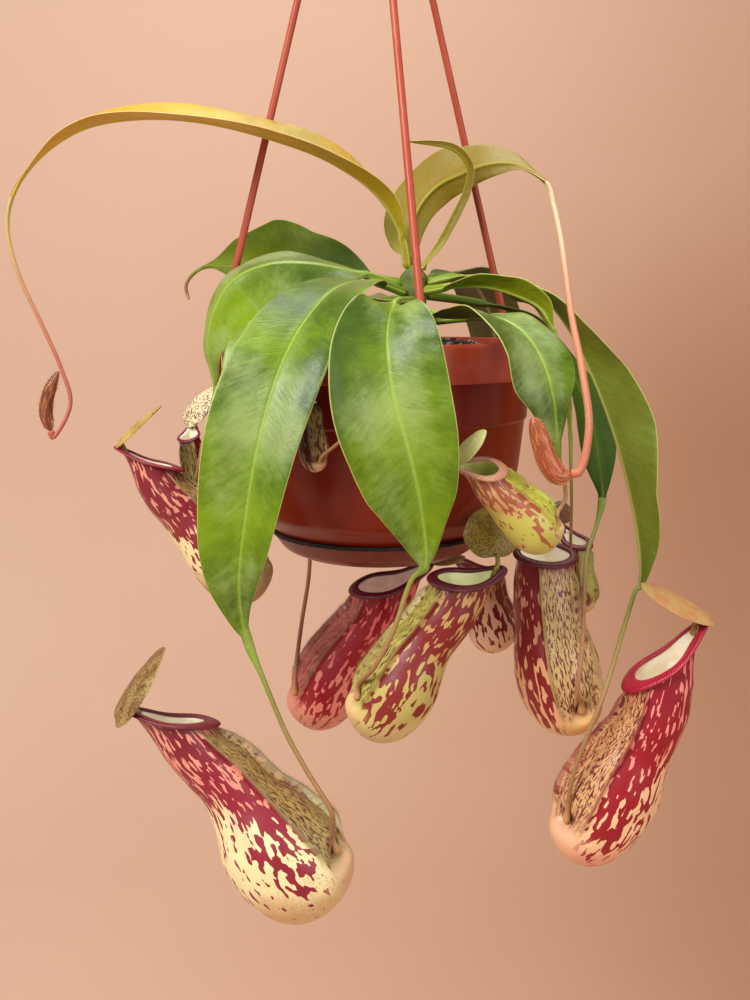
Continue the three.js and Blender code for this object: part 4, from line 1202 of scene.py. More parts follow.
        def disc(a: float, v: float) -> Vector:
            """The lid's point: out over the top and back under it."""
            turn = TURN * a
            out = min(1.0, math.sin(math.pi * v) * 1.0001) ** 0.9
            thick = self.LID_HALF * dome(out * out) * (1.0 if v < 0.5 else -1.0)
            rim = 1.0 + 0.025 * math.sin(turn * 3.0 + 1.0) + 0.015 * math.sin(turn * 7.0)
            notch = 1.0 - 0.1 * bell(turn - math.pi, 0.35)
            keel = 0.5 * bell(math.sin(turn) * out * lid.width, 1.2) * (1.0 if v < 0.5 else 0.0)
            wave = 0.05 * lid.width * out**3 * math.sin(turn * 2.0 + 0.6)
            side = across * (out * rim * lid.width * math.sin(turn))
            up = normal * (thick + keel * (1.0 - out) + wave - 0.12 * lid.width * out * out)
            return centre + along * (out * rim * notch * lid.length * math.cos(turn)) + side + up

        work.lay(72, 32, disc, PitcherSide.LID)
        foot = hinge - tangent * (neck * 1.5 + p.mouth * PEAK * 0.5)
        inner = start + along * (lid.length * 0.35)
        work.lay(16, 14, tube(Path([foot, start, inner]), neck, neck * 0.6), PitcherSide.LID)

    def fringe(self, work: Workpiece) -> None:
        """Adds the hairs along both wings."""
        p = self.pitcher
        count = max(20, int(self.path.length * 1.6))
        for side in (1.0, -1.0):
            for i in range(count):
                s = mix(0.18, 0.9, (i + self.draw.uniform(-0.4, 0.4)) / count)
                turn = side * self.WING_TURN % TURN
                r = p.girth(s)
                _, tangent, front, other = self.station(s)
                root = self.ring(s, r, 0.0, turn, self.ridge(turn, s) * 0.95)
                out = front * math.cos(turn) + other * math.sin(turn)
                away = out + tangent * self.draw.uniform(-0.5, 0.5) + other * self.draw.uniform(-0.25, 0.25)
                reach = self.WING_HAIR * self.draw.uniform(0.6, 1.1)
                work.hair(root, root + away.normalized() * reach, self.HAIR_R, PitcherSide.HAIR)

    def fuzz(self, work: Workpiece) -> None:
        """Adds short down all over a closed pitcher."""
        for _ in range(self.FUZZ):
            s = self.draw.uniform(0.05, 0.97)
            turn = self.draw.uniform(0.0, TURN)
            _, tangent, front, other = self.station(s)
            root = self.ring(s, self.pitcher.girth(s) * self.nose(s) * 0.96, 0.0, turn)
            out = front * math.cos(turn) + other * math.sin(turn) + tangent * self.draw.uniform(0.0, 0.7)
            reach = self.FUZZ_HAIR * self.draw.uniform(0.6, 1.2)
            work.hair(root, root + out.normalized() * reach, 0.1, PitcherSide.HAIR)

    def build(self, finish: PitcherFinish, slot: str) -> bpy.types.Object:
        """Models and dresses the pitcher.

        Args:
            finish: its colours.
            slot: the record's material slot.

        Returns:
            The piece.
        """
        p = self.pitcher
        work = Workpiece("see_" + p.name)
        around, along = (144, 120) if self.big else (84, 70)
        work.lay(
            around, along, self.body,
            finish=lambda a, v: PitcherSide.LINING if not p.closed and v > self.OUTER else PitcherSide.SKIN,
            place=lambda a, v: (self.angle(a) / TURN, self.share(v)),
        )
        if p.closed:
            self.fuzz(work)
        else:
            work.lay(self.ribs * 4, 16, self.lip, PitcherSide.LIP)
            self.cover(work)
            self.fringe(work)
        return work.finish(finish.all(p.belly, self.path.length, self.ribs), p.name, slot=slot)


# Pot, saucer, soil, stem and hanger

TURNED_FACES = 128  # once round the pot and the saucer


def turned(work: Workpiece, profile: Sequence[tuple[float, float]]) -> None:
    """Adds a closed solid of revolution round the pot's axis.

    Args:
        work: the piece it belongs to.
        profile: radius and height of each corner, from the axis and back to it.
    """
    line = [work.bm.verts.new(spot(Vector((r, 0.0, z)))) for r, z in profile]
    edges = [work.bm.edges.new(pair) for pair in zip(line, line[1:])]
    bmesh.ops.spin(
        work.bm, geom=[*line, *edges], cent=(0.0, 0.0, 0.0), axis=(0.0, 0.0, 1.0), angle=TURN,
        steps=TURNED_FACES, use_merge=True,
    )
    bmesh.ops.remove_doubles(work.bm, verts=work.bm.verts[:], dist=1e-6)
    bmesh.ops.recalc_face_normals(work.bm, faces=work.bm.faces[:])
    for face in work.bm.faces:
        face.smooth = True


def rounded(corners: Sequence[tuple[float, float, float]]) -> list[tuple[float, float]]:
    """A profile with each corner rounded.

    Args:
        corners: radius, height and rounding of each corner. The first and the last stay sharp.

    Returns:
        The points of the rounded profile.
    """
    out: list[tuple[float, float]] = []
    steps = 5
    for i, (r, z, soft) in enumerate(corners):
        here = Vector((r, z))
        if soft <= 0.0:
            out.append((r, z))
            continue
        before = Vector(corners[i - 1][:2]) - here
        after = Vector(corners[i + 1][:2]) - here
        reach = min(soft, before.length * 0.45, after.length * 0.45)
        a = here + before.normalized() * reach
        b = here + after.normalized() * reach
        for k in range(steps + 1):
            t = k / steps
            p = a * (1.0 - t) ** 2 + here * (2.0 * t * (1.0 - t)) + b * t * t
            out.append((p.x, p.y))
    return out


class Pot:
    """The plastic bowl pot with a band round its rim."""

    def build(self) -> bpy.types.Object:
        """Models and dresses the pot."""
        t = POT_WALL
        work = Workpiece("see_pot")
        turned(work, rounded([
            (0.0, -POT_H, 0.0), (44.0, -POT_H, 0.0), (50.0, -POT_H, 1.5), (53.0, -93.0, 2.0),
            (58.5, -87.2, 1.0), (59.3, -86.6, 0.5), (62.0, -84.0, 4.0), (69.0, -68.0, 10.0),
            (72.3, -38.0, 3.0), (72.9, -37.4, 0.5), (73.4, -36.6, 0.5), (74.2, -POT_BAND, 0.5),
            (76.9, -POT_BAND, 0.7), (77.1, -15.0, 0.8), (77.6, -1.6, 1.2), (POT_RIM_R, 0.1, 0.8),
            (POT_RIM_R - t - 0.6, 0.1, 0.8), (74.0 - t, -POT_BAND, 2.0), (72.3 - t, -37.0, 3.0),
            (69.0 - t, -68.0, 8.0), (62.0 - t, -83.0, 4.0), (49.0, -93.4, 2.0), (0.0, -93.4, 0.0),
        ]))
        # The band takes the lighter copy of the plastic, which paints the light falling on it
        for face in work.bm.faces:  # the band's finish, where it isn't the body's
            face.material_index = int(face.calc_center_median().z / MM + HOOK_RISE > -POT_BAND - 0.1)
        return work.finish([Moulding.POT.material(), Moulding.LIT_BAND.material()], "pot", slot="pot_plastic")


class Saucer:
    """The drip saucer clipped under the pot, with the painted shade of the gap under the pot, and specks of
    soil, along its edge.
    """

    TOP = -POT_H - SEAT  # height of the pot's foot
    GAP_SHADE_R = 50.0  # the painted gap shade lies outside this radius

    @staticmethod
    def gap_shade_and_soil() -> bpy.types.Material:
        """Painted black shade of the gap under the pot, with specks of soil, laid on the saucer's edge and
        ragged below.
        """
        shader = Shader("saucer_edge_shade_and_soil")
        at = shader.spot()
        lumps = shader.noise(at, 420.0, 4.0, 0.7)
        colour = shader.blend(lumps.step(0.4, 0.75), tone(16, 11, 9), tone(58, 38, 28))
        return shader.done(colour, 0.85, lumps, 0.8)

    def build(self) -> bpy.types.Object:
        """Models and dresses the saucer."""
        top = self.TOP
        work = Workpiece("see_saucer")
        turned(work, rounded([
            (0.0, top - 9.4, 0.0), (36.0, top - 9.4, 0.4), (37.0, top - 10.0, 0.4), (40.0, top - 10.0, 0.6),
            (48.0, top - 6.5, 3.0), (53.4, top + 0.9, 0.6), (54.2, top + 1.2, 0.4), (54.1, top + 2.6, 0.5),
            (52.5, top + 2.6, 0.5), (46.5, top - 4.6, 1.0), (45.0, top - 0.1, 0.5), (43.0, top - 0.1, 0.5),
            (39.4, top - 8.0, 1.0), (0.0, top - 8.0, 0.0),
        ]))
        for face in work.bm.faces:
            middle = face.calc_center_median() / MM
            # The saucer's upper edge takes the painted gap shade with its soil specks
            high = middle.z + HOOK_RISE > top + 0.6 + 0.9 * noise.noise(middle * 0.3)
            if high and math.hypot(middle.x, middle.y) > self.GAP_SHADE_R:
                face.material_index = 1
        return work.finish([Moulding.SAUCER.material(), self.gap_shade_and_soil()], "saucer", slot="saucer_plastic")


class Soil:
    """The potting mix, mounded and crumbly, with white grains."""

    SEED = 11
    GRAINS = 300
    GRAIN_R = 70.0  # they lie within this radius
    GRAIN_SIZE = (0.7, 1.9)  # the smallest and the largest radius of one
    PROFILE = (
        (0.0, 2.0), (34.0, 0.0), (60.0, -3.5), (71.0, -5.5), (69.4, -37.0), (66.0, -67.8), (59.0, -82.8),
        (48.5, -93.0), (0.0, -93.0),
    )  # radius and height
    EDGE = 3  # the corner of PROFILE where the top ends
    TOP_ROWS = 0.7  # share of the grid's rows that the top takes

    def __init__(self) -> None:
        """Seeds the draw of the grains and Blender's vector noise, which otherwise starts from the clock."""
        self.draw = random.Random(self.SEED)
        noise.seed_set(self.SEED)

    def height(self, x: float, y: float) -> float:
        """The crumbly top's height over the rim at a place."""
        r = math.hypot(x, y)
        level = next(
            mix(z0, z1, (r - r0) / (r1 - r0))
            for (r0, z0), (r1, z1) in zip(self.PROFILE, self.PROFILE[1:self.EDGE + 1]) if r <= r1 + 0.1
        )
        at = Vector((x, y, 3.0))
        return level + noise.noise(at * 0.12) * 1.2 + noise.noise(at * 0.5) * 0.9 + noise.noise(at * 1.3) * 0.4

    def surface(self, a: float, v: float) -> Vector:
        """The point at a round the mix and v from the middle of its top to the middle of its foot."""
        turn = TURN * a
        if v < self.TOP_ROWS:
            r = self.PROFILE[self.EDGE][0] * v / self.TOP_ROWS
            x, y = r * math.cos(turn), r * math.sin(turn)
            return Vector((x, y, self.height(x, y)))
        last = len(self.PROFILE) - 1
        place = mix(self.EDGE, last, (v - self.TOP_ROWS) / (1.0 - self.TOP_ROWS))
        i = min(int(place), last - 1)
        (r0, z0), (r1, z1) = self.PROFILE[i], self.PROFILE[i + 1]
        r = mix(r0, r1, place - i)
        return Vector((r * math.cos(turn), r * math.sin(turn), mix(z0, z1, place - i)))

    def grain(self, work: Workpiece, x: float, y: float, finish: int) -> None:
        """Adds one rough loose grain on the top at a place."""
        size = self.draw.uniform(*self.GRAIN_SIZE) * MM
        shape = Matrix.Diagonal((1.0, self.draw.uniform(0.6, 1.0), self.draw.uniform(0.5, 0.9), 1.0))
        roll = Matrix.Rotation(self.draw.uniform(0.0, TURN), 4, "Z")
        at = Matrix.Translation(spot(Vector((x, y, self.height(x, y) + 0.3))))
        made = bmesh.ops.create_icosphere(work.bm, subdivisions=1, radius=size, matrix=at @ roll @ shape)
        for vert in made["verts"]:
            vert.co += noise.noise_vector(vert.co * 900.0) * size * 0.25
        for face in {f for v in made["verts"] for f in v.link_faces}:
            face.material_index = finish

    def build(self) -> bpy.types.Object:
        """Models and dresses the soil."""
        work = Workpiece("see_soil")
        work.lay(150, 90, self.surface)
        for i in range(self.GRAINS):
            r = self.GRAIN_R * math.sqrt(self.draw.uniform(0.02, 1.0))
            turn = self.draw.uniform(0.0, TURN)
            x, y = r * math.cos(turn), r * math.sin(turn)
            if math.hypot(x - CROWN_AT.x, y) > CROWN_R + 2.0:
                self.grain(work, x, y, 1 if i % 3 else 2)
        # The white grains are dimmed to grey to paint the shade over the soil
        white = self.crumbs("white_grains", tone(110, 102, 90), tone(186, 180, 168), 700.0, 0.8, 0.3)
        brown = self.crumbs("bark_crumbs", tone(40, 28, 20), tone(98, 70, 46), 500.0, 0.85, 0.4)
        return work.finish([self.mould(), white, brown], "soil", slot="potting_mix")

    @staticmethod
    def mould() -> bpy.types.Material:
        """Dark damp peat."""
        shader = Shader("potting_mix")
        at = shader.spot()
        lumps = shader.noise(at, 220.0, 4.0, 0.7)
        bits = shader.cells(at, 420.0)
        near = (1.0 - bits.step(0.1, 0.3)) * 0.4
        colour = shader.layers(
            tone(22, 17, 13), (lumps.step(0.35, 0.7), tone(62, 48, 34)), (near, tone(92, 72, 50)),
        )
        return shader.done(colour, 0.9, lumps * 0.7 + bits * 0.6, 0.9)

    @staticmethod
    def crumbs(
        name: str, dark: Colour, light: Colour, scale: float, rough: float, depth: float,
    ) -> bpy.types.Material:
        """The cloudy finish of one kind of loose grain.

        Args:
            name: the material's name.
            dark: its darkest colour.
            light: its lightest colour.
            scale: clouds to a metre.
            rough: its roughness.
            depth: depth of its relief in millimetres.

        Returns:
            The material.
        """
        shader = Shader(name)
        cloud = shader.noise(shader.spot(), scale, 3.0)
        return shader.done(shader.blend(cloud.step(0.35, 0.7), dark, light), rough, cloud, depth)


class Crown:
    """The short scarred stem in the middle of the plant."""

    FOOT = -23.0
    TOP = CROWN_TOP + 4.0  # grown past the solid stem, up between the youngest leaves

    def surface(self, a: float, v: float) -> Vector:
        """The stem's point, closed at both ends."""
        turn = TURN * a
        scar = 0.25 * math.sin(v * 44.0 + math.sin(turn) * 1.5)
        if v <= 0.0 or v >= 1.0:
            r = 0.0
        else:
            r = CROWN_R * min(1.0, (v / 0.2) ** 0.6) * min(1.0, ((1.0 - v) / 0.1) ** 0.5) + scar
        return CROWN_AT + Vector((r * math.cos(turn), r * math.sin(turn), mix(self.FOOT, self.TOP, v)))

    def build(self) -> bpy.types.Object:
        """Models and dresses the stem."""
        work = Workpiece("see_crown")
        work.lay(48, 60, self.surface)
        shader = Shader("crown_bark")
        cloud = shader.noise(shader.spot(), 160.0, 4.0, 0.6)
        colour = shader.blend(cloud.step(0.35, 0.65), tone(104, 130, 44), tone(88, 92, 40))
        return work.finish([shader.done(colour, 0.7, cloud, 0.5)], "crown", slot="crown_bark")


class Hanger:
    """Three strands, their pegs and the hook, moulded in one."""

    STRAND_TURNS = (-76.0, 30.0, 180.0)  # where they hang from the rim, in degrees from +X
    STRAND_R = (1.9, 1.6)  # radius at the peg and at the hub
    HUB_X = -6.0
    HOOK_BEND = 13.4  # radius of the hook's own bend
    HOOK_TURNS = (190.0, 150.0, 110.0, 70.0, 30.0, -5.0, -30.0)
    HOOK_R = (2.6, 2.2)  # radius of its bar at the hub and at the tip

    def build(self) -> bpy.types.Object:
        """Models and dresses the hanger."""
        work = Workpiece("see_hanger")
        up = Vector((0.0, 0.0, 1.0))
        hub = Vector((self.HUB_X, 0.0, HOOK_RISE - 34.0))
        r = POT_RIM_R + self.STRAND_R[0] + SEAT + 0.7
        for degrees in self.STRAND_TURNS:
            turn = math.radians(degrees)
            way = Vector((math.cos(turn), math.sin(turn), 0.0))
            foot = way * r - up * 2.0
            path = Path([
                way * (74.6 + SEAT + 0.4) - up * (POT_BAND + SEAT + 2.2),
                way * (r - 1.0) - up * (POT_BAND + SEAT + 2.1), way * r - up * (POT_BAND - 1.0),
                foot, foot.lerp(hub, 0.05), foot.lerp(hub, 0.5), hub,
            ])
            work.lay(16, 90, tube(path, *self.STRAND_R))
        middle = up * (HOOK_RISE - 11.0)
        points = [hub - up * 4.0, hub + up * 6.0, middle + Vector((-11.0, 0.0, -7.0))]
        for degrees in self.HOOK_TURNS:
            turn = math.radians(degrees)
            points.append(middle + Vector((math.cos(turn), 0.0, math.sin(turn))) * self.HOOK_BEND)
        work.lay(20, 90, tube(Path(points), *self.HOOK_R))
        return work.finish([Moulding.HANGER.material()], "hanger", slot="hanger_plastic")


# The plant's tables

PITCHERS = (
    Pitcher(
        "pitcher_lower_left",
        axis=[(-20, -87, -252), (-42, -87, -230), (-65, -87, -196), (-82, -87, -177),
             (-91, -87, -165)],
        belly=26, neck=14.5, mouth=12, lip=2, front=(0.8, -0.25, 0.6), slope=0.85, lean=0.4,
        lid=Lid(along=(0.56, 0.1, 0.82), face=(-0.86, -0.3, 0.5), length=21, width=15, rise=5.5, reach=0.28),
    ),
    Pitcher(
        "pitcher_lower_right",
        axis=[(96, -35, -257), (112, -35, -229), (122, -36, -206), (132, -39, -181),
             (137, -42, -152)],
        belly=23, neck=17, mouth=13.6, lip=2.2, front=(-0.9, -0.45, 0.1), slope=0.95, belly_at=0.36,
        lean=-0.45,
        lid=Lid(along=(-0.88, -0.2, 0.45), face=(0.4, -0.3, 0.9), length=22, width=11, rise=7.5, reach=0.42),
    ),
    Pitcher(
        "pitcher_centre",
        axis=[(-8, -70, -178), (8, -70, -157), (18, -69, -138), (32, -68, -119), (38, -66, -106)],
        belly=18, neck=13, mouth=13, lip=1.8, front=(-0.9, -0.3, 0.4), slope=0.45, lean=0.12,
        lid=Lid(along=(-0.15, 0.3, 0.95), face=(0.2, -0.9, 0.3), length=12.5, width=13.5, reach=1.1),
    ),
    Pitcher(
        "pitcher_centre_red",
        axis=[(-38, -7, -197), (-27, -8, -178), (-15, -10, -156), (-1, -12, -137),
             (4, -15, -120)],
        belly=18, neck=14.5, mouth=15, lip=1.8, front=(-0.9, -0.3, 0.35), slope=0.5, lean=-0.15,
        lid=Lid(along=(0.85, 0.5, 0.05), face=(0, 0, 1), length=11, width=10),
    ),
    Pitcher(
        "pitcher_centre_right",
        axis=[(99, -26, -194), (90, -25, -167), (85, -20, -141), (83, -15, -119),
             (82, -12, -105)],
        belly=21, neck=16.5, mouth=15, belly_at=0.38, lip=1.8, front=(0.3, -0.94, 0.05), slope=0.45,
        lid=Lid(along=(-0.1, 0.6, 0.8), face=(0, -0.8, 0.6), length=12, width=12),
    ),
    Pitcher(
        "pitcher_back_right",
        axis=[(106, 15, -144), (105, 16, -131), (104, 17, -116), (103, 18, -105)],
        belly=9.5, neck=7, mouth=7.5, lip=1.4, front=(0.5, -0.8, 0.1), slope=0.5,
        lid=Lid(along=(-0.1, 0.6, 0.8), face=(0, -0.8, 0.6), length=7, width=6),
    ),
    Pitcher(
        "pitcher_back_centre",
        axis=[(65, 18, -165), (60, 18, -151), (56, 17, -134), (53, 16, -120)],
        belly=13, neck=10, mouth=10.5, lip=1.7, front=(0.5, 0.6, 0.4), slope=0.5,
        lid=Lid(along=(-0.8, 0.4, 0.1), face=(0, 0, 1), length=8, width=8),
    ),
    Pitcher(
        "pitcher_small_front",
        axis=[(76, -80, -88), (67, -81, -78), (57, -83, -68), (50, -86, -60), (44, -88, -52)],
        belly=11.8, neck=9.5, mouth=7.2, lip=1.3, front=(0.75, -0.3, 0.6), slope=0.7, lean=-0.2,
        lid=Lid(along=(0.66, 0, 0.75), face=(-0.6, -0.6, 0.5), length=9.7, width=5, reach=0.75),
    ),
    Pitcher(
        "pitcher_left",
        axis=[(-57, -44, -120), (-70, -44, -104), (-87, -44, -83), (-100, -44, -67),
             (-106, -44, -55)],
        belly=16.5, neck=12, mouth=9.5, lip=1.4, front=(0.77, -0.3, 0.6), slope=0.85, lean=0.33,
        lid=Lid(along=(0.75, 0, 0.66), face=(-0.66, -0.1, 0.75), length=15.5, width=8, rise=3.5, reach=0.6),
    ),
    Pitcher(
        "pitcher_small_left",
        axis=[(-86, -20, -84), (-88, -20, -73), (-90, -20, -60), (-92, -20, -45)],
        belly=7.5, neck=6, mouth=5.3, lip=1, front=(-0.2, -1, 0.1), slope=0.45,
        lid=Lid(along=(0.7, -0.1, 0.7), face=(-0.55, -0.6, 0.57), length=12.8, width=8.5, rise=5, reach=0.4),
    ),
    Pitcher(
        "pitcher_hidden",
        axis=[(-27, -83, -54), (-29, -83, -44), (-30, -82, -34), (-31, -81, -24)],
        belly=6, neck=4.6, mouth=4.8, lip=0.9, front=(0.5, -0.8, 0.2), slope=0.35,
        lid=Lid(along=(-0.1, 0.5, 0.85), face=(0, -0.9, 0.4), length=5, width=5),
    ),
    Pitcher(
        "pitcher_young_right",
        axis=[(81, -94, -53), (76, -94, -54), (71, -94, -48), (68, -94, -40), (64, -94, -29)],
        belly=4.6, neck=4.2, mouth=4, closed=True, front=(-0.8, 0, -0.5), slope=0,
    ),
    Pitcher(
        "pitcher_bud_left",
        axis=[(-159, -20, -43), (-161, -20, -34), (-159, -20, -24), (-154, -20, -14)],
        belly=3.2, neck=3, mouth=2, closed=True, front=(1, 0, 0), slope=0,
    ),
)

LEAVES = (
    Leaf(
        "leaf_front_left",
        mid=[(8, -6, 23), (-4, -26, 28), (-20, -50, 24), (-34, -70, 8), (-42, -82, -8),
             (-50, -90, -34), (-57, -93, -70), (-61, -91, -104), (-58, -87, -128)],
        tendril=[(-51, -90, -145), (-41, -91, -170), (-32, -94, -186), (-21, -98, -204)],
        across=((-0.3, 0.9, 0), (-0.8, 0.3, 0.4), (-1, 0, 0)), half=(22, 23), peak=0.4, peak_far=0.56,
        stalk=0.08, fold=(10, 12, 14, 10), wave=2, holds="pitcher_lower_left",
    ),
    Leaf(
        "leaf_front",
        mid=[(16, -8, 19), (12, -36, 19), (7, -66, 18), (4, -84, 12), (3, -95, -1),
             (6, -101, -21), (12, -103, -42), (17, -101, -66), (19, -96, -93)],
        tendril=[(14, -93, -99), (6, -93, -122), (-2, -90, -139)],
        across=((-1, 0, 0), (-1, 0, 0.05), (-1, 0, 0)), half=(24, 27), peak=0.42, stalk=0.29,
        stalk_far=0.26, peak_far=0.53, power=1.2, fold=(10, 12, 30, 14, 8, 8, 12),
        holds="pitcher_centre",
    ),
    Leaf(
        "leaf_left",
        mid=[(8, -3, 26), (-12, -8, 33), (-34, -13, 37), (-54, -17, 36), (-70, -20, 28),
             (-79, -22, 12), (-81, -24, -4), (-78, -26, -21)],
        tendril=[(-80, -29, -32), (-84, -35, -50)],
        across=((0, 1, 0.2), (-0.1, 0.8, 0.6), (-0.3, 0.8, 0.5), (-0.6, 0.8, 0)), half=(31, 17),
        peak=0.48, stalk=0.1, fold=(0, -14, -18, -16, -10, -4), holds="pitcher_small_left", tail_r=0.9,
    ),
    Leaf(
        "leaf_back_left",
        mid=[(10, 4, 28), (2, 16, 30), (-20, 26, 35), (-40, 31, 34), (-58, 34, 35),
             (-76, 34, 37), (-92, 33, 36)],
        tendril=[(-100, 33, 28), (-99, 32, 20)],
        across=((0.4, 0.9, 0), (0, 0.6, 0.9), (0, 0.5, 0.9), (0, 0.8, 0.3)), half=(14, 29), peak=0.52,
        stalk=0.2, fold=(6, 4, 8), tail_r=0.9, power=2.2,
    ),
    Leaf(
        "leaf_young_left",
        mid=[(14, 0, 34.3), (11, -5, 50), (-1, -10, 69), (-23, -14, 84), (-51, -18, 94),
             (-83, -22, 101), (-112, -24, 102), (-138, -24, 97), (-160, -22, 83),
             (-172, -20, 67)],
        tendril=[(-175, -20, 52), (-171, -20, 32), (-161, -20, 8), (-153, -20, -12),
             (-149, -20, -30), (-151, -20, -43)],
        across=((-0.6, 0.8, 0.2), (-0.3, 0.9, 0.35), (0, 1, 0.25), (0, 1, 0.3)), half=(17, 18),
        peak=0.42, stalk=0.1, fold=(30, 22, 14, 20), wave=1, holds="pitcher_bud_left", tail_r=1,
    ),
    Leaf(
        "leaf_young_right",
        mid=[(18.5, 3.4, 34.3), (16, 8, 51), (20, 12, 65), (29, 12, 75), (40, 7, 80),
             (53, 0, 84), (66, -6, 83), (79, -14, 74)],
        tendril=[(82, -18, 64), (84, -27, 50), (84, -44, 34), (84, -66, 12), (86, -84, -10),
             (88, -93, -34), (86, -94, -50)],
        across=((-0.9, 0, 0.3), (-0.9, 0.3, 0.4), (-0.4, 0.55, 0.75), (-0.3, 0.8, 0.4)), half=(9, 21),
        peak=0.36, stalk=0.06, fold=(30, 25, 20, 16), wave=1, holds="pitcher_young_right", tail_r=1,
        end_r=1.9,
    ),
    Leaf(
        "leaf_rolled",
        mid=[(20.5, -2.6, 34.3), (28, -4, 46), (35, -6, 59), (41, -8, 72), (42, -10, 82),
             (36, -12, 89), (25, -14, 92), (12, -17, 93)],
        across=((0, 1, 0), (0, 1, 0), (0, 1, 0)), half=(4, 4), peak=0.35, power=0.9, fold=(60, 55, 40),
        wave=0, tail_r=0.6, stalk_r=2,
    ),
    Leaf(
        "leaf_right",
        mid=[(24, -2, 28), (40, -6, 31), (60, -10, 30), (78, -14, 22), (92, -17, 5),
             (103, -19, -17), (114, -20, -45), (123, -20, -74), (129, -19, -103),
             (130, -18, -121)],
        tendril=[(128, -19, -122), (120, -32, -136), (107, -51, -165), (99, -54, -185),
             (93, -51, -208)],
        across=((0, -1, 0), (0, -1, 0), (0.1, -1, 0), (0.2, -1, 0)), half=(17, 20), peak=0.58,
        stalk=0.05, fold=(0, 0, 0, 0, 18, 45, 55, 28, 34, 40), wave=2.2, holds="pitcher_lower_right",
    ),
    Leaf(
        "leaf_right_dark",
        mid=[(24, 6, 22), (46, 14, 19), (66, 18, 15), (84, 23, 6), (98, 26, -14), (110, 27, -38),
             (116, 26, -64), (118, 24, -83)],
        tendril=[(115, 20, -96), (107, 2, -108), (100, -30, -121), (96, -50, -145),
             (94, -52, -165)],
        across=((0, -1, 0), (0.3, -1, 0), (-0.7, -0.6, 0), (-1, -0.1, 0)), half=(13, 13), peak=0.6,
        stalk=0.15, fold=(8, 8, 10), holds="pitcher_centre_right",
    ),
    Leaf(
        "leaf_front_right",
        mid=[(22, -9, 15), (30, -34, 12), (42, -52, 12), (53, -64, 11), (63, -73, 4),
             (70, -79, -8), (74, -82, -22), (77, -80, -43)],
        tendril=[(79, -78, -52), (82, -75, -66), (84, -75, -77)],
        across=((-1, -0.2, 0), (-0.9, -0.5, 0.1), (-0.9, -0.4, 0.2), (-1, -0.2, 0)), half=(15, 22),
        peak=0.55, peak_far=0.58, stalk=0.05, fold=(12, 10, 8), holds="pitcher_small_front", tail_r=0.9,
    ),
    Leaf(
        "leaf_right_arch",
        mid=[(25, -5, 24), (37, -15, 26), (50, -22, 26), (64, -28, 22), (75, -32, 16),
             (81, -35, 6)],
        tendril=[(83, -38, -2), (84, -39, -6)],
        across=((0.3, -1, 0), (0.4, -1, 0.2), (0.5, -0.8, 0.1)), half=(10, 11), peak=0.5, stalk=0.1,
        fold=(10, 16, 12), tail_r=0.8,
    ),
    Leaf(
        "leaf_back_right",
        mid=[(21, 8, 27), (32, 30, 33), (45, 52, 33), (57, 74, 24), (66, 92, 4), (69, 102, -25),
             (68, 106, -52)],
        tendril=[(67, 102, -80), (68, 82, -118), (70, 50, -146), (76, 28, -156)],
        across=((1, 0, 0), (1, -0.4, 0), (1, -0.2, 0)), half=(17, 17), peak=0.5, stalk=0.1,
        fold=(10, 10, 10), holds="pitcher_back_centre",
    ),
    Leaf(
        "leaf_right_low",
        mid=[(24, -7, 9), (44, -22, 11), (62, -31, 9), (77, -36, -1), (86, -37, -18),
             (90, -35, -42)],
        tendril=[(91, -34, -58), (95, -16, -80), (98, 0, -104), (100, 3, -120)],
        across=((0.4, -1, 0), (0.1, -1, 0.2), (-0.6, -0.9, 0.2)), half=(9, 9), peak=0.55, stalk=0.14,
        fold=(8, 8, 8), holds="pitcher_back_right", tail_r=0.8,
    ),
    Leaf(
        "leaf_back",
        mid=[(12, 8, 20), (-2, 32, 20), (-16, 55, 20), (-30, 76, 14), (-41, 92, -6),
             (-45, 98, -40)],
        tendril=[(-44, 92, -76), (-40, 70, -104), (-38, 40, -126), (-41, 12, -150),
             (-48, -5, -169)],
        across=((1, 0.3, 0), (1, 0.3, 0), (1, 0.1, 0)), half=(18, 18), peak=0.5, stalk=0.1,
        fold=(10, 10, 10), holds="pitcher_centre_red",
    ),
    Leaf(
        "leaf_left_low",
        mid=[(8, -8, 14), (-14, -28, 12), (-36, -46, 11), (-53, -61, 3), (-61, -70, -15),
             (-64, -72, -40)],
        tendril=[(-62, -66, -62), (-58, -58, -80), (-54, -50, -92)],
        across=((-0.6, 0.8, 0), (-0.7, 0.7, 0.2), (-1, 0.1, 0)), half=(12, 12), peak=0.5, stalk=0.14,
        fold=(8, 8, 8), holds="pitcher_left", tail_r=0.9,
    ),
    Leaf(
        "leaf_front_low",
        mid=[(13, -10, 8), (4, -38, 7), (-5, -62, 6), (-14, -78, 0), (-19, -83, -12)],
        tendril=[(-18, -84, -26), (-15.5, -84, -38), (-17, -84, -47)],
        across=((-1, -0.2, 0), (-1, -0.3, 0), (-1, -0.1, 0)), half=(8, 8), peak=0.5, stalk=0.2,
        fold=(8, 8, 8), holds="pitcher_hidden", tail_r=0.8,
    ),
)


# Looks of the leaves and pitchers

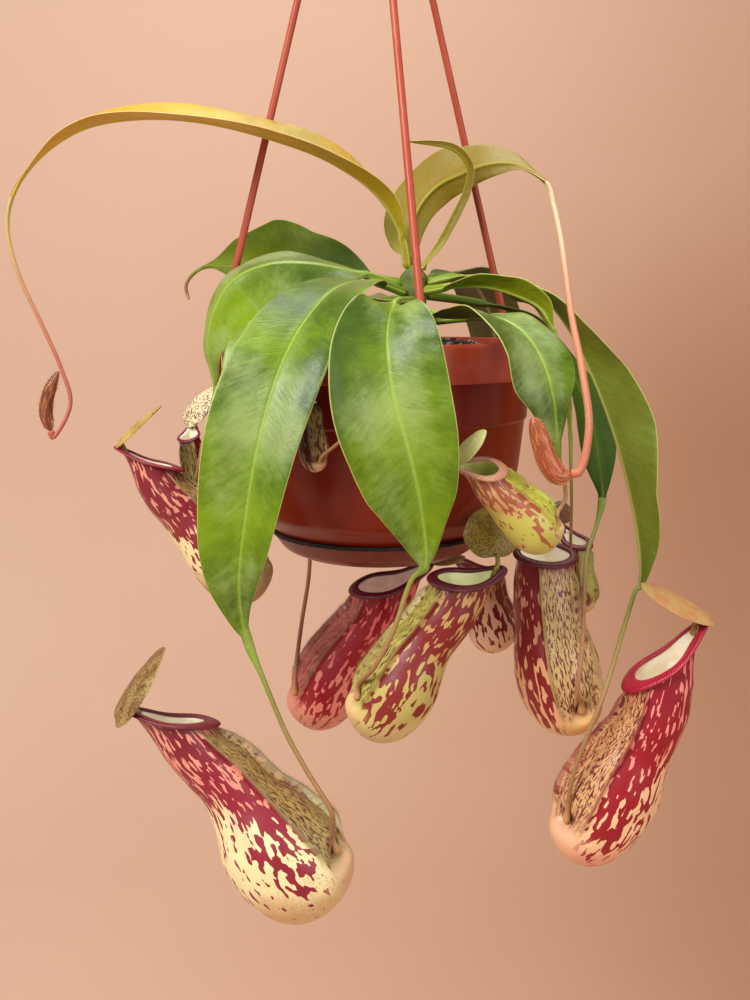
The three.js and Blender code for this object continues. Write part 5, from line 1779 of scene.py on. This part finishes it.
GREEN = LeafFinish("leaf_green")
YELLOW = LeafFinish(
    "leaf_yellow", deep=tone(150, 118, 4), light=tone(196, 154, 24), stalk=tone(150, 160, 30), painted_sheen=0.15,
    under=tone(222, 176, 36), rib=tone(190, 176, 60), tendril=tone(190, 100, 84), edge=tone(222, 200, 140),
    tendril_start=tone(204, 180, 110), foot=tone(190, 100, 84), gloss=0.5, coat=0.0,
)
BRONZE = LeafFinish(
    "leaf_bronze", deep=tone(116, 104, 0), light=tone(158, 132, 2), stalk=tone(148, 152, 16), painted_sheen=0.05,
    rib=tone(190, 184, 70), edge=tone(225, 205, 150), under=tone(134, 110, 6), under_rib=tone(146, 136, 20),
    tendril=tone(192, 108, 78), tendril_start=tone(222, 200, 156), foot=tone(196, 108, 76), gloss=0.5, coat=0.0,
    specular=0.2,
)
DARK = LeafFinish(
    "leaf_dark", deep=tone(22, 50, 0), light=tone(64, 94, 4), under=tone(84, 88, 30), painted_sheen=0.0,
    under_rib=tone(150, 150, 84), rib=tone(110, 140, 50), edge=tone(120, 140, 60), gloss=0.5, coat=0.0,
    specular=0.2,
)
BACK = LeafFinish(
    "leaf_back_green", deep=tone(54, 76, 0), light=tone(104, 118, 0), under=tone(104, 112, 30), painted_sheen=0.05,
    rib=tone(150, 164, 60), edge=tone(150, 160, 70), gloss=0.55, coat=0.0, specular=0.1,
)
ARCH = LeafFinish(
    "leaf_arch_green", deep=tone(92, 112, 0), light=tone(150, 158, 16), under=tone(136, 144, 14), painted_sheen=0.2,
    rib=tone(190, 200, 90), under_rib=tone(170, 182, 70), gloss=0.4,
)
LEAF_LOOKS = {
    "leaf_young_left": YELLOW, "leaf_young_right": BRONZE, "leaf_rolled": BRONZE,
    "leaf_right_dark": DARK, "leaf_back_right": DARK, "leaf_back_left": BACK,
    "leaf_right_arch": ARCH,
}
YOUNG = ("leaf_young_left", "leaf_young_right", "leaf_rolled")

PITCHER_LOOKS = {
    "pitcher_lower_left": PitcherFinish(
        "lower_left", cover=(0.72, 0.62, 0.47), front_cover=0.14, lid=tone(146, 120, 54),
        lid_speck=tone(100, 50, 32), lid_cover=0.68, throat=tone(232, 152, 128), blotch=tone(148, 30, 50),
        blotch_dark=tone(112, 16, 32),
    ),
    "pitcher_lower_right": PitcherFinish(
        "lower_right", throat=tone(250, 150, 138), belly=tone(250, 204, 156), base=tone(242, 176, 146),
        blotch=tone(156, 10, 30), blotch_dark=tone(140, 16, 42), strip=tone(214, 168, 112),
        streak=tone(110, 30, 34), wing=tone(168, 96, 80), cover=(0.64, 0.56, 0.45), front_cover=0.12,
        fleck=2.3, stretch=3.2, toe=tone(240, 186, 146),
        lip=tone(158, 8, 42), lip_light=tone(204, 40, 74), lid=tone(158, 140, 70),
        lid_speck=tone(196, 110, 80),
    ),
    "pitcher_centre": PitcherFinish(
        "centre", throat=tone(200, 158, 96), belly=tone(194, 176, 98), base=tone(218, 196, 136),
        blotch=tone(136, 32, 32), blotch_dark=tone(108, 28, 24), strip=tone(182, 172, 82),
        streak=tone(78, 48, 20), streak_cover=0.54, wing=tone(172, 154, 84), toe=tone(228, 194, 130),
        cover=(0.70, 0.56, 0.46), lip=tone(84, 16, 32), lip_light=tone(124, 46, 56),
        lid=tone(156, 138, 40), lid_speck=tone(112, 86, 30), lining=tone(228, 228, 178),
    ),
    "pitcher_centre_red": PitcherFinish(
        "centre_red", throat=tone(228, 110, 110), belly=tone(232, 140, 124), base=tone(220, 150, 124),
        blotch=tone(156, 18, 36), blotch_dark=tone(134, 12, 30), strip=tone(186, 104, 88),
        streak=tone(136, 34, 40), cover=(0.62, 0.54, 0.43), wing=tone(150, 122, 98), fleck=2.2,
        stretch=3.0, lining=tone(236, 208, 190), toe=tone(214, 140, 116),
    ),
    "pitcher_centre_right": PitcherFinish(
        "centre_right", throat=tone(224, 160, 130), belly=tone(236, 176, 132), base=tone(226, 208, 150),
        blotch=tone(138, 14, 20), blotch_dark=tone(112, 14, 20), strip=tone(204, 176, 116),
        streak=tone(108, 34, 22), streak_cover=0.53, wing=tone(168, 150, 84), toe=tone(226, 180, 112),
        stretch=3.0, cover=(0.66, 0.55, 0.45), lip=tone(84, 8, 24), lip_light=tone(126, 26, 42),
    ),
    "pitcher_back_right": PitcherFinish(
        "back_right", throat=tone(190, 186, 84), belly=tone(196, 190, 92), base=tone(190, 176, 96),
        strip=tone(178, 176, 80), cover=(0.66, 0.58, 0.54), lid=tone(120, 70, 44), streak_cover=0.6,
    ),
    "pitcher_back_centre": PitcherFinish(
        "back_centre", throat=tone(200, 160, 110), belly=tone(240, 206, 170), base=tone(236, 206, 176),
        cover=(0.60, 0.50, 0.44), blotch=tone(128, 24, 36),
    ),
    "pitcher_small_front": PitcherFinish(
        "small_front", throat=tone(204, 160, 100), belly=tone(192, 184, 84), base=tone(200, 190, 96),
        blotch=tone(168, 92, 58), blotch_dark=tone(150, 76, 54), strip=tone(192, 196, 66),
        streak=tone(128, 92, 44), streak_cover=0.6, wing=tone(190, 194, 76),
        cover=(0.72, 0.63, 0.50), fleck=2.0, lip=tone(180, 118, 90), lip_light=tone(212, 170, 134),
        lining=tone(150, 150, 72), lid=tone(206, 204, 128), lid_cover=0.0,
    ),
    "pitcher_left": PitcherFinish(
        "left", throat=tone(222, 150, 122), belly=tone(248, 226, 168), base=tone(172, 136, 96),
        toe=tone(160, 124, 88), blotch=tone(138, 32, 44), blotch_dark=tone(124, 18, 36),
        cover=(0.95, 0.60, 0.45), fleck=1.9,
        lip=tone(128, 12, 40), lip_light=tone(176, 48, 76), lid=tone(172, 142, 52), lid_cover=0.3,
    ),
    "pitcher_small_left": PitcherFinish(
        "small_left", throat=tone(178, 150, 84), belly=tone(170, 160, 80), cover=(0.66, 0.54, 0.46),
        fleck=1.8, lip=tone(132, 30, 60), lip_light=tone(182, 80, 104), lid=tone(238, 222, 176),
        lid_cover=0.62, lid_speck=tone(96, 16, 26), strip=tone(140, 134, 62),
    ),
    # Its colours are darkened to paint the shade it hangs in, deep among the leaves
    "pitcher_hidden": PitcherFinish(
        "hidden", throat=tone(110, 90, 40), belly=tone(120, 104, 52), blotch=tone(80, 24, 26),
        cover=(0.52, 0.48, 0.44), fleck=1.6,
    ),
    "pitcher_young_right": PitcherFinish(
        "young_right", throat=tone(190, 112, 62), belly=tone(184, 104, 58), base=tone(190, 108, 70),
        blotch=tone(156, 76, 40), blotch_dark=tone(140, 66, 40), cover=(0.52, 0.50, 0.48), fleck=0.9,
        stretch=7.0, hair=tone(214, 150, 116), strip=tone(206, 130, 80), strip_share=0.0,
        wing=tone(204, 120, 80),
    ),
    "pitcher_bud_left": PitcherFinish(
        "bud_left", throat=tone(170, 104, 54), belly=tone(166, 98, 52), base=tone(170, 96, 60),
        blotch=tone(120, 58, 34), blotch_dark=tone(110, 50, 34), cover=(0.52, 0.50, 0.48), fleck=0.8,
        stretch=7.0, hair=tone(190, 134, 96), strip=tone(170, 104, 60), strip_share=0.0,
        wing=tone(166, 98, 56),
    ),
}
SLOTS = {
    "pitcher_centre": "pitcher_green", "pitcher_back_right": "pitcher_green",
    "pitcher_small_front": "pitcher_green", "pitcher_small_left": "pitcher_green",
    "pitcher_hidden": "pitcher_green", "pitcher_young_right": "pitcher_bud",
    "pitcher_bud_left": "pitcher_bud",
}


# Stage

class Stage:
    """A pale sweep behind the plant, soft lights and the camera."""

    FLOOR_Z = -0.95
    WALL_Y = 1.15
    FRONT_Y = -1.6
    HALF = 3.0  # half the sweep's width
    TOP_Z = 2.2
    BEND = 0.5  # radius of the bend between floor and wall
    AIM = (0.0, 0.0, -0.40)  # what the lamps look at
    LAMPS = (
        ("key", (-0.8, -1.0, 0.7), 0.8, 29.0, (1.0, 0.985, 0.96)),
        ("fill", (1.1, -1.0, -0.1), 1.0, 7.0, (1.0, 0.97, 0.95)),
        ("top", (0.1, 0.2, 0.9), 0.8, 13.0, (1.0, 0.99, 0.98)),
    )  # name, place, width in metres, watts and tint
    AIR = (1.0, 0.96, 0.93, 1.0)  # colour of the even light
    AIR_STRENGTH = 0.42
    EYE = (-0.002, -0.575, -0.303)  # the camera's place
    EYE_PITCH = math.radians(80.4)  # from straight down
    LENS = 41.4
    FILM = 36.0  # height of the sensor, as the lens in millimetres

    def sweep(self) -> None:
        """The floor that bends up into the back wall."""
        bm = bmesh.new()
        bmesh.ops.create_grid(bm, x_segments=24, y_segments=48, size=1.0)
        straight = self.WALL_Y - self.BEND - self.FRONT_Y
        turn = self.BEND * math.pi / 2.0
        rise = self.TOP_Z - self.FLOOR_Z - self.BEND
        for vert in bm.verts:
            d = (vert.co.y + 1.0) / 2.0 * (straight + turn + rise)
            x = vert.co.x * self.HALF
            if d < straight:
                vert.co = Vector((x, self.FRONT_Y + d, self.FLOOR_Z))
            elif d < straight + turn:
                angle = (d - straight) / self.BEND
                vert.co = Vector((
                    x, self.WALL_Y - self.BEND + self.BEND * math.sin(angle),
                    self.FLOOR_Z + self.BEND * (1.0 - math.cos(angle)),
                ))
            else:
                vert.co = Vector((x, self.WALL_Y, self.FLOOR_Z + self.BEND + d - straight - turn))
        for face in bm.faces:
            face.smooth = True
        mesh = bpy.data.meshes.new("floor_sweep")
        bm.to_mesh(mesh)
        bm.free()
        mesh.materials.append(self.paper())
        floor = bpy.data.objects.new("floor_sweep", mesh)
        bpy.context.scene.collection.objects.link(floor)

    @staticmethod
    def paper() -> bpy.types.Material:
        """Apricot paper, with painted shade that darkens it to the right and most beside the plant."""
        shader = Shader("floor_paper")
        at = shader.spot()
        cloud = shader.noise(at, 3.0, 2.0)
        x, _, z = shader.numbers(at)
        # Painted shade: the sweep darkens to the right, and most at the plant's height on its right side
        right = x * 0.55 - z * 0.3 + (cloud - 0.5) * 0.15
        shade = (1.0 - abs(z + 0.6).step(0.05, 0.5)) * x.step(0.12, 0.5)
        colour = shader.layers(
            tone(213, 178, 155),
            (right.step(-0.25, 0.75), tone(178, 132, 100)),
            (shade * 0.5, tone(150, 98, 64)),
        )
        return shader.done(colour, 0.9)

    def lights(self) -> None:
        """Adds the soft area lamps and the world's even light."""
        for name, at, size, power, tint in self.LAMPS:
            light = bpy.data.lights.new(name, "AREA")
            light.size = size
            light.energy = power
            light.color = tint
            lamp = bpy.data.objects.new(name, light)
            lamp.location = at
            lamp.rotation_euler = (Vector(self.AIM) - Vector(at)).to_track_quat("-Z", "Y").to_euler()
            bpy.context.scene.collection.objects.link(lamp)
        world = bpy.data.worlds.new("studio")
        world.use_nodes = True
        back = world.node_tree.nodes["Background"]
        back.inputs["Color"].default_value = self.AIR
        back.inputs["Strength"].default_value = self.AIR_STRENGTH
        bpy.context.scene.world = world
        bpy.context.scene.view_settings.view_transform = "Standard"

    def camera(self) -> None:
        """Places the camera as the photograph was taken."""
        lens = bpy.data.cameras.new("camera")
        lens.sensor_fit = "VERTICAL"
        lens.sensor_height = self.FILM
        lens.lens = self.LENS
        camera = bpy.data.objects.new("camera", lens)
        camera.location = self.EYE
        camera.rotation_euler = (self.EYE_PITCH, 0.0, 0.0)
        bpy.context.scene.collection.objects.link(camera)
        bpy.context.scene.camera = camera

    def build(self) -> None:
        """Sets the whole stage."""
        self.sweep()
        self.lights()
        self.camera()
        log.info("stage set")


def main() -> None:
    """Builds every visible piece, then the stage."""
    for part in (Pot(), Saucer(), Hanger(), Soil(), Crown()):
        part.build()
    pitchers = {p.name: p for p in PITCHERS}
    for leaf in LEAVES:
        slot = "leaf_young" if leaf.name in YOUNG else "leaf_green"
        LeafPart(leaf, pitchers).build(LEAF_LOOKS.get(leaf.name, GREEN), slot)
    for pitcher in PITCHERS:
        slot = SLOTS.get(pitcher.name, "pitcher_red")
        PitcherPart(pitcher).build(PITCHER_LOOKS[pitcher.name], slot)
    Stage().build()


if __name__ == "__main__":
    main()
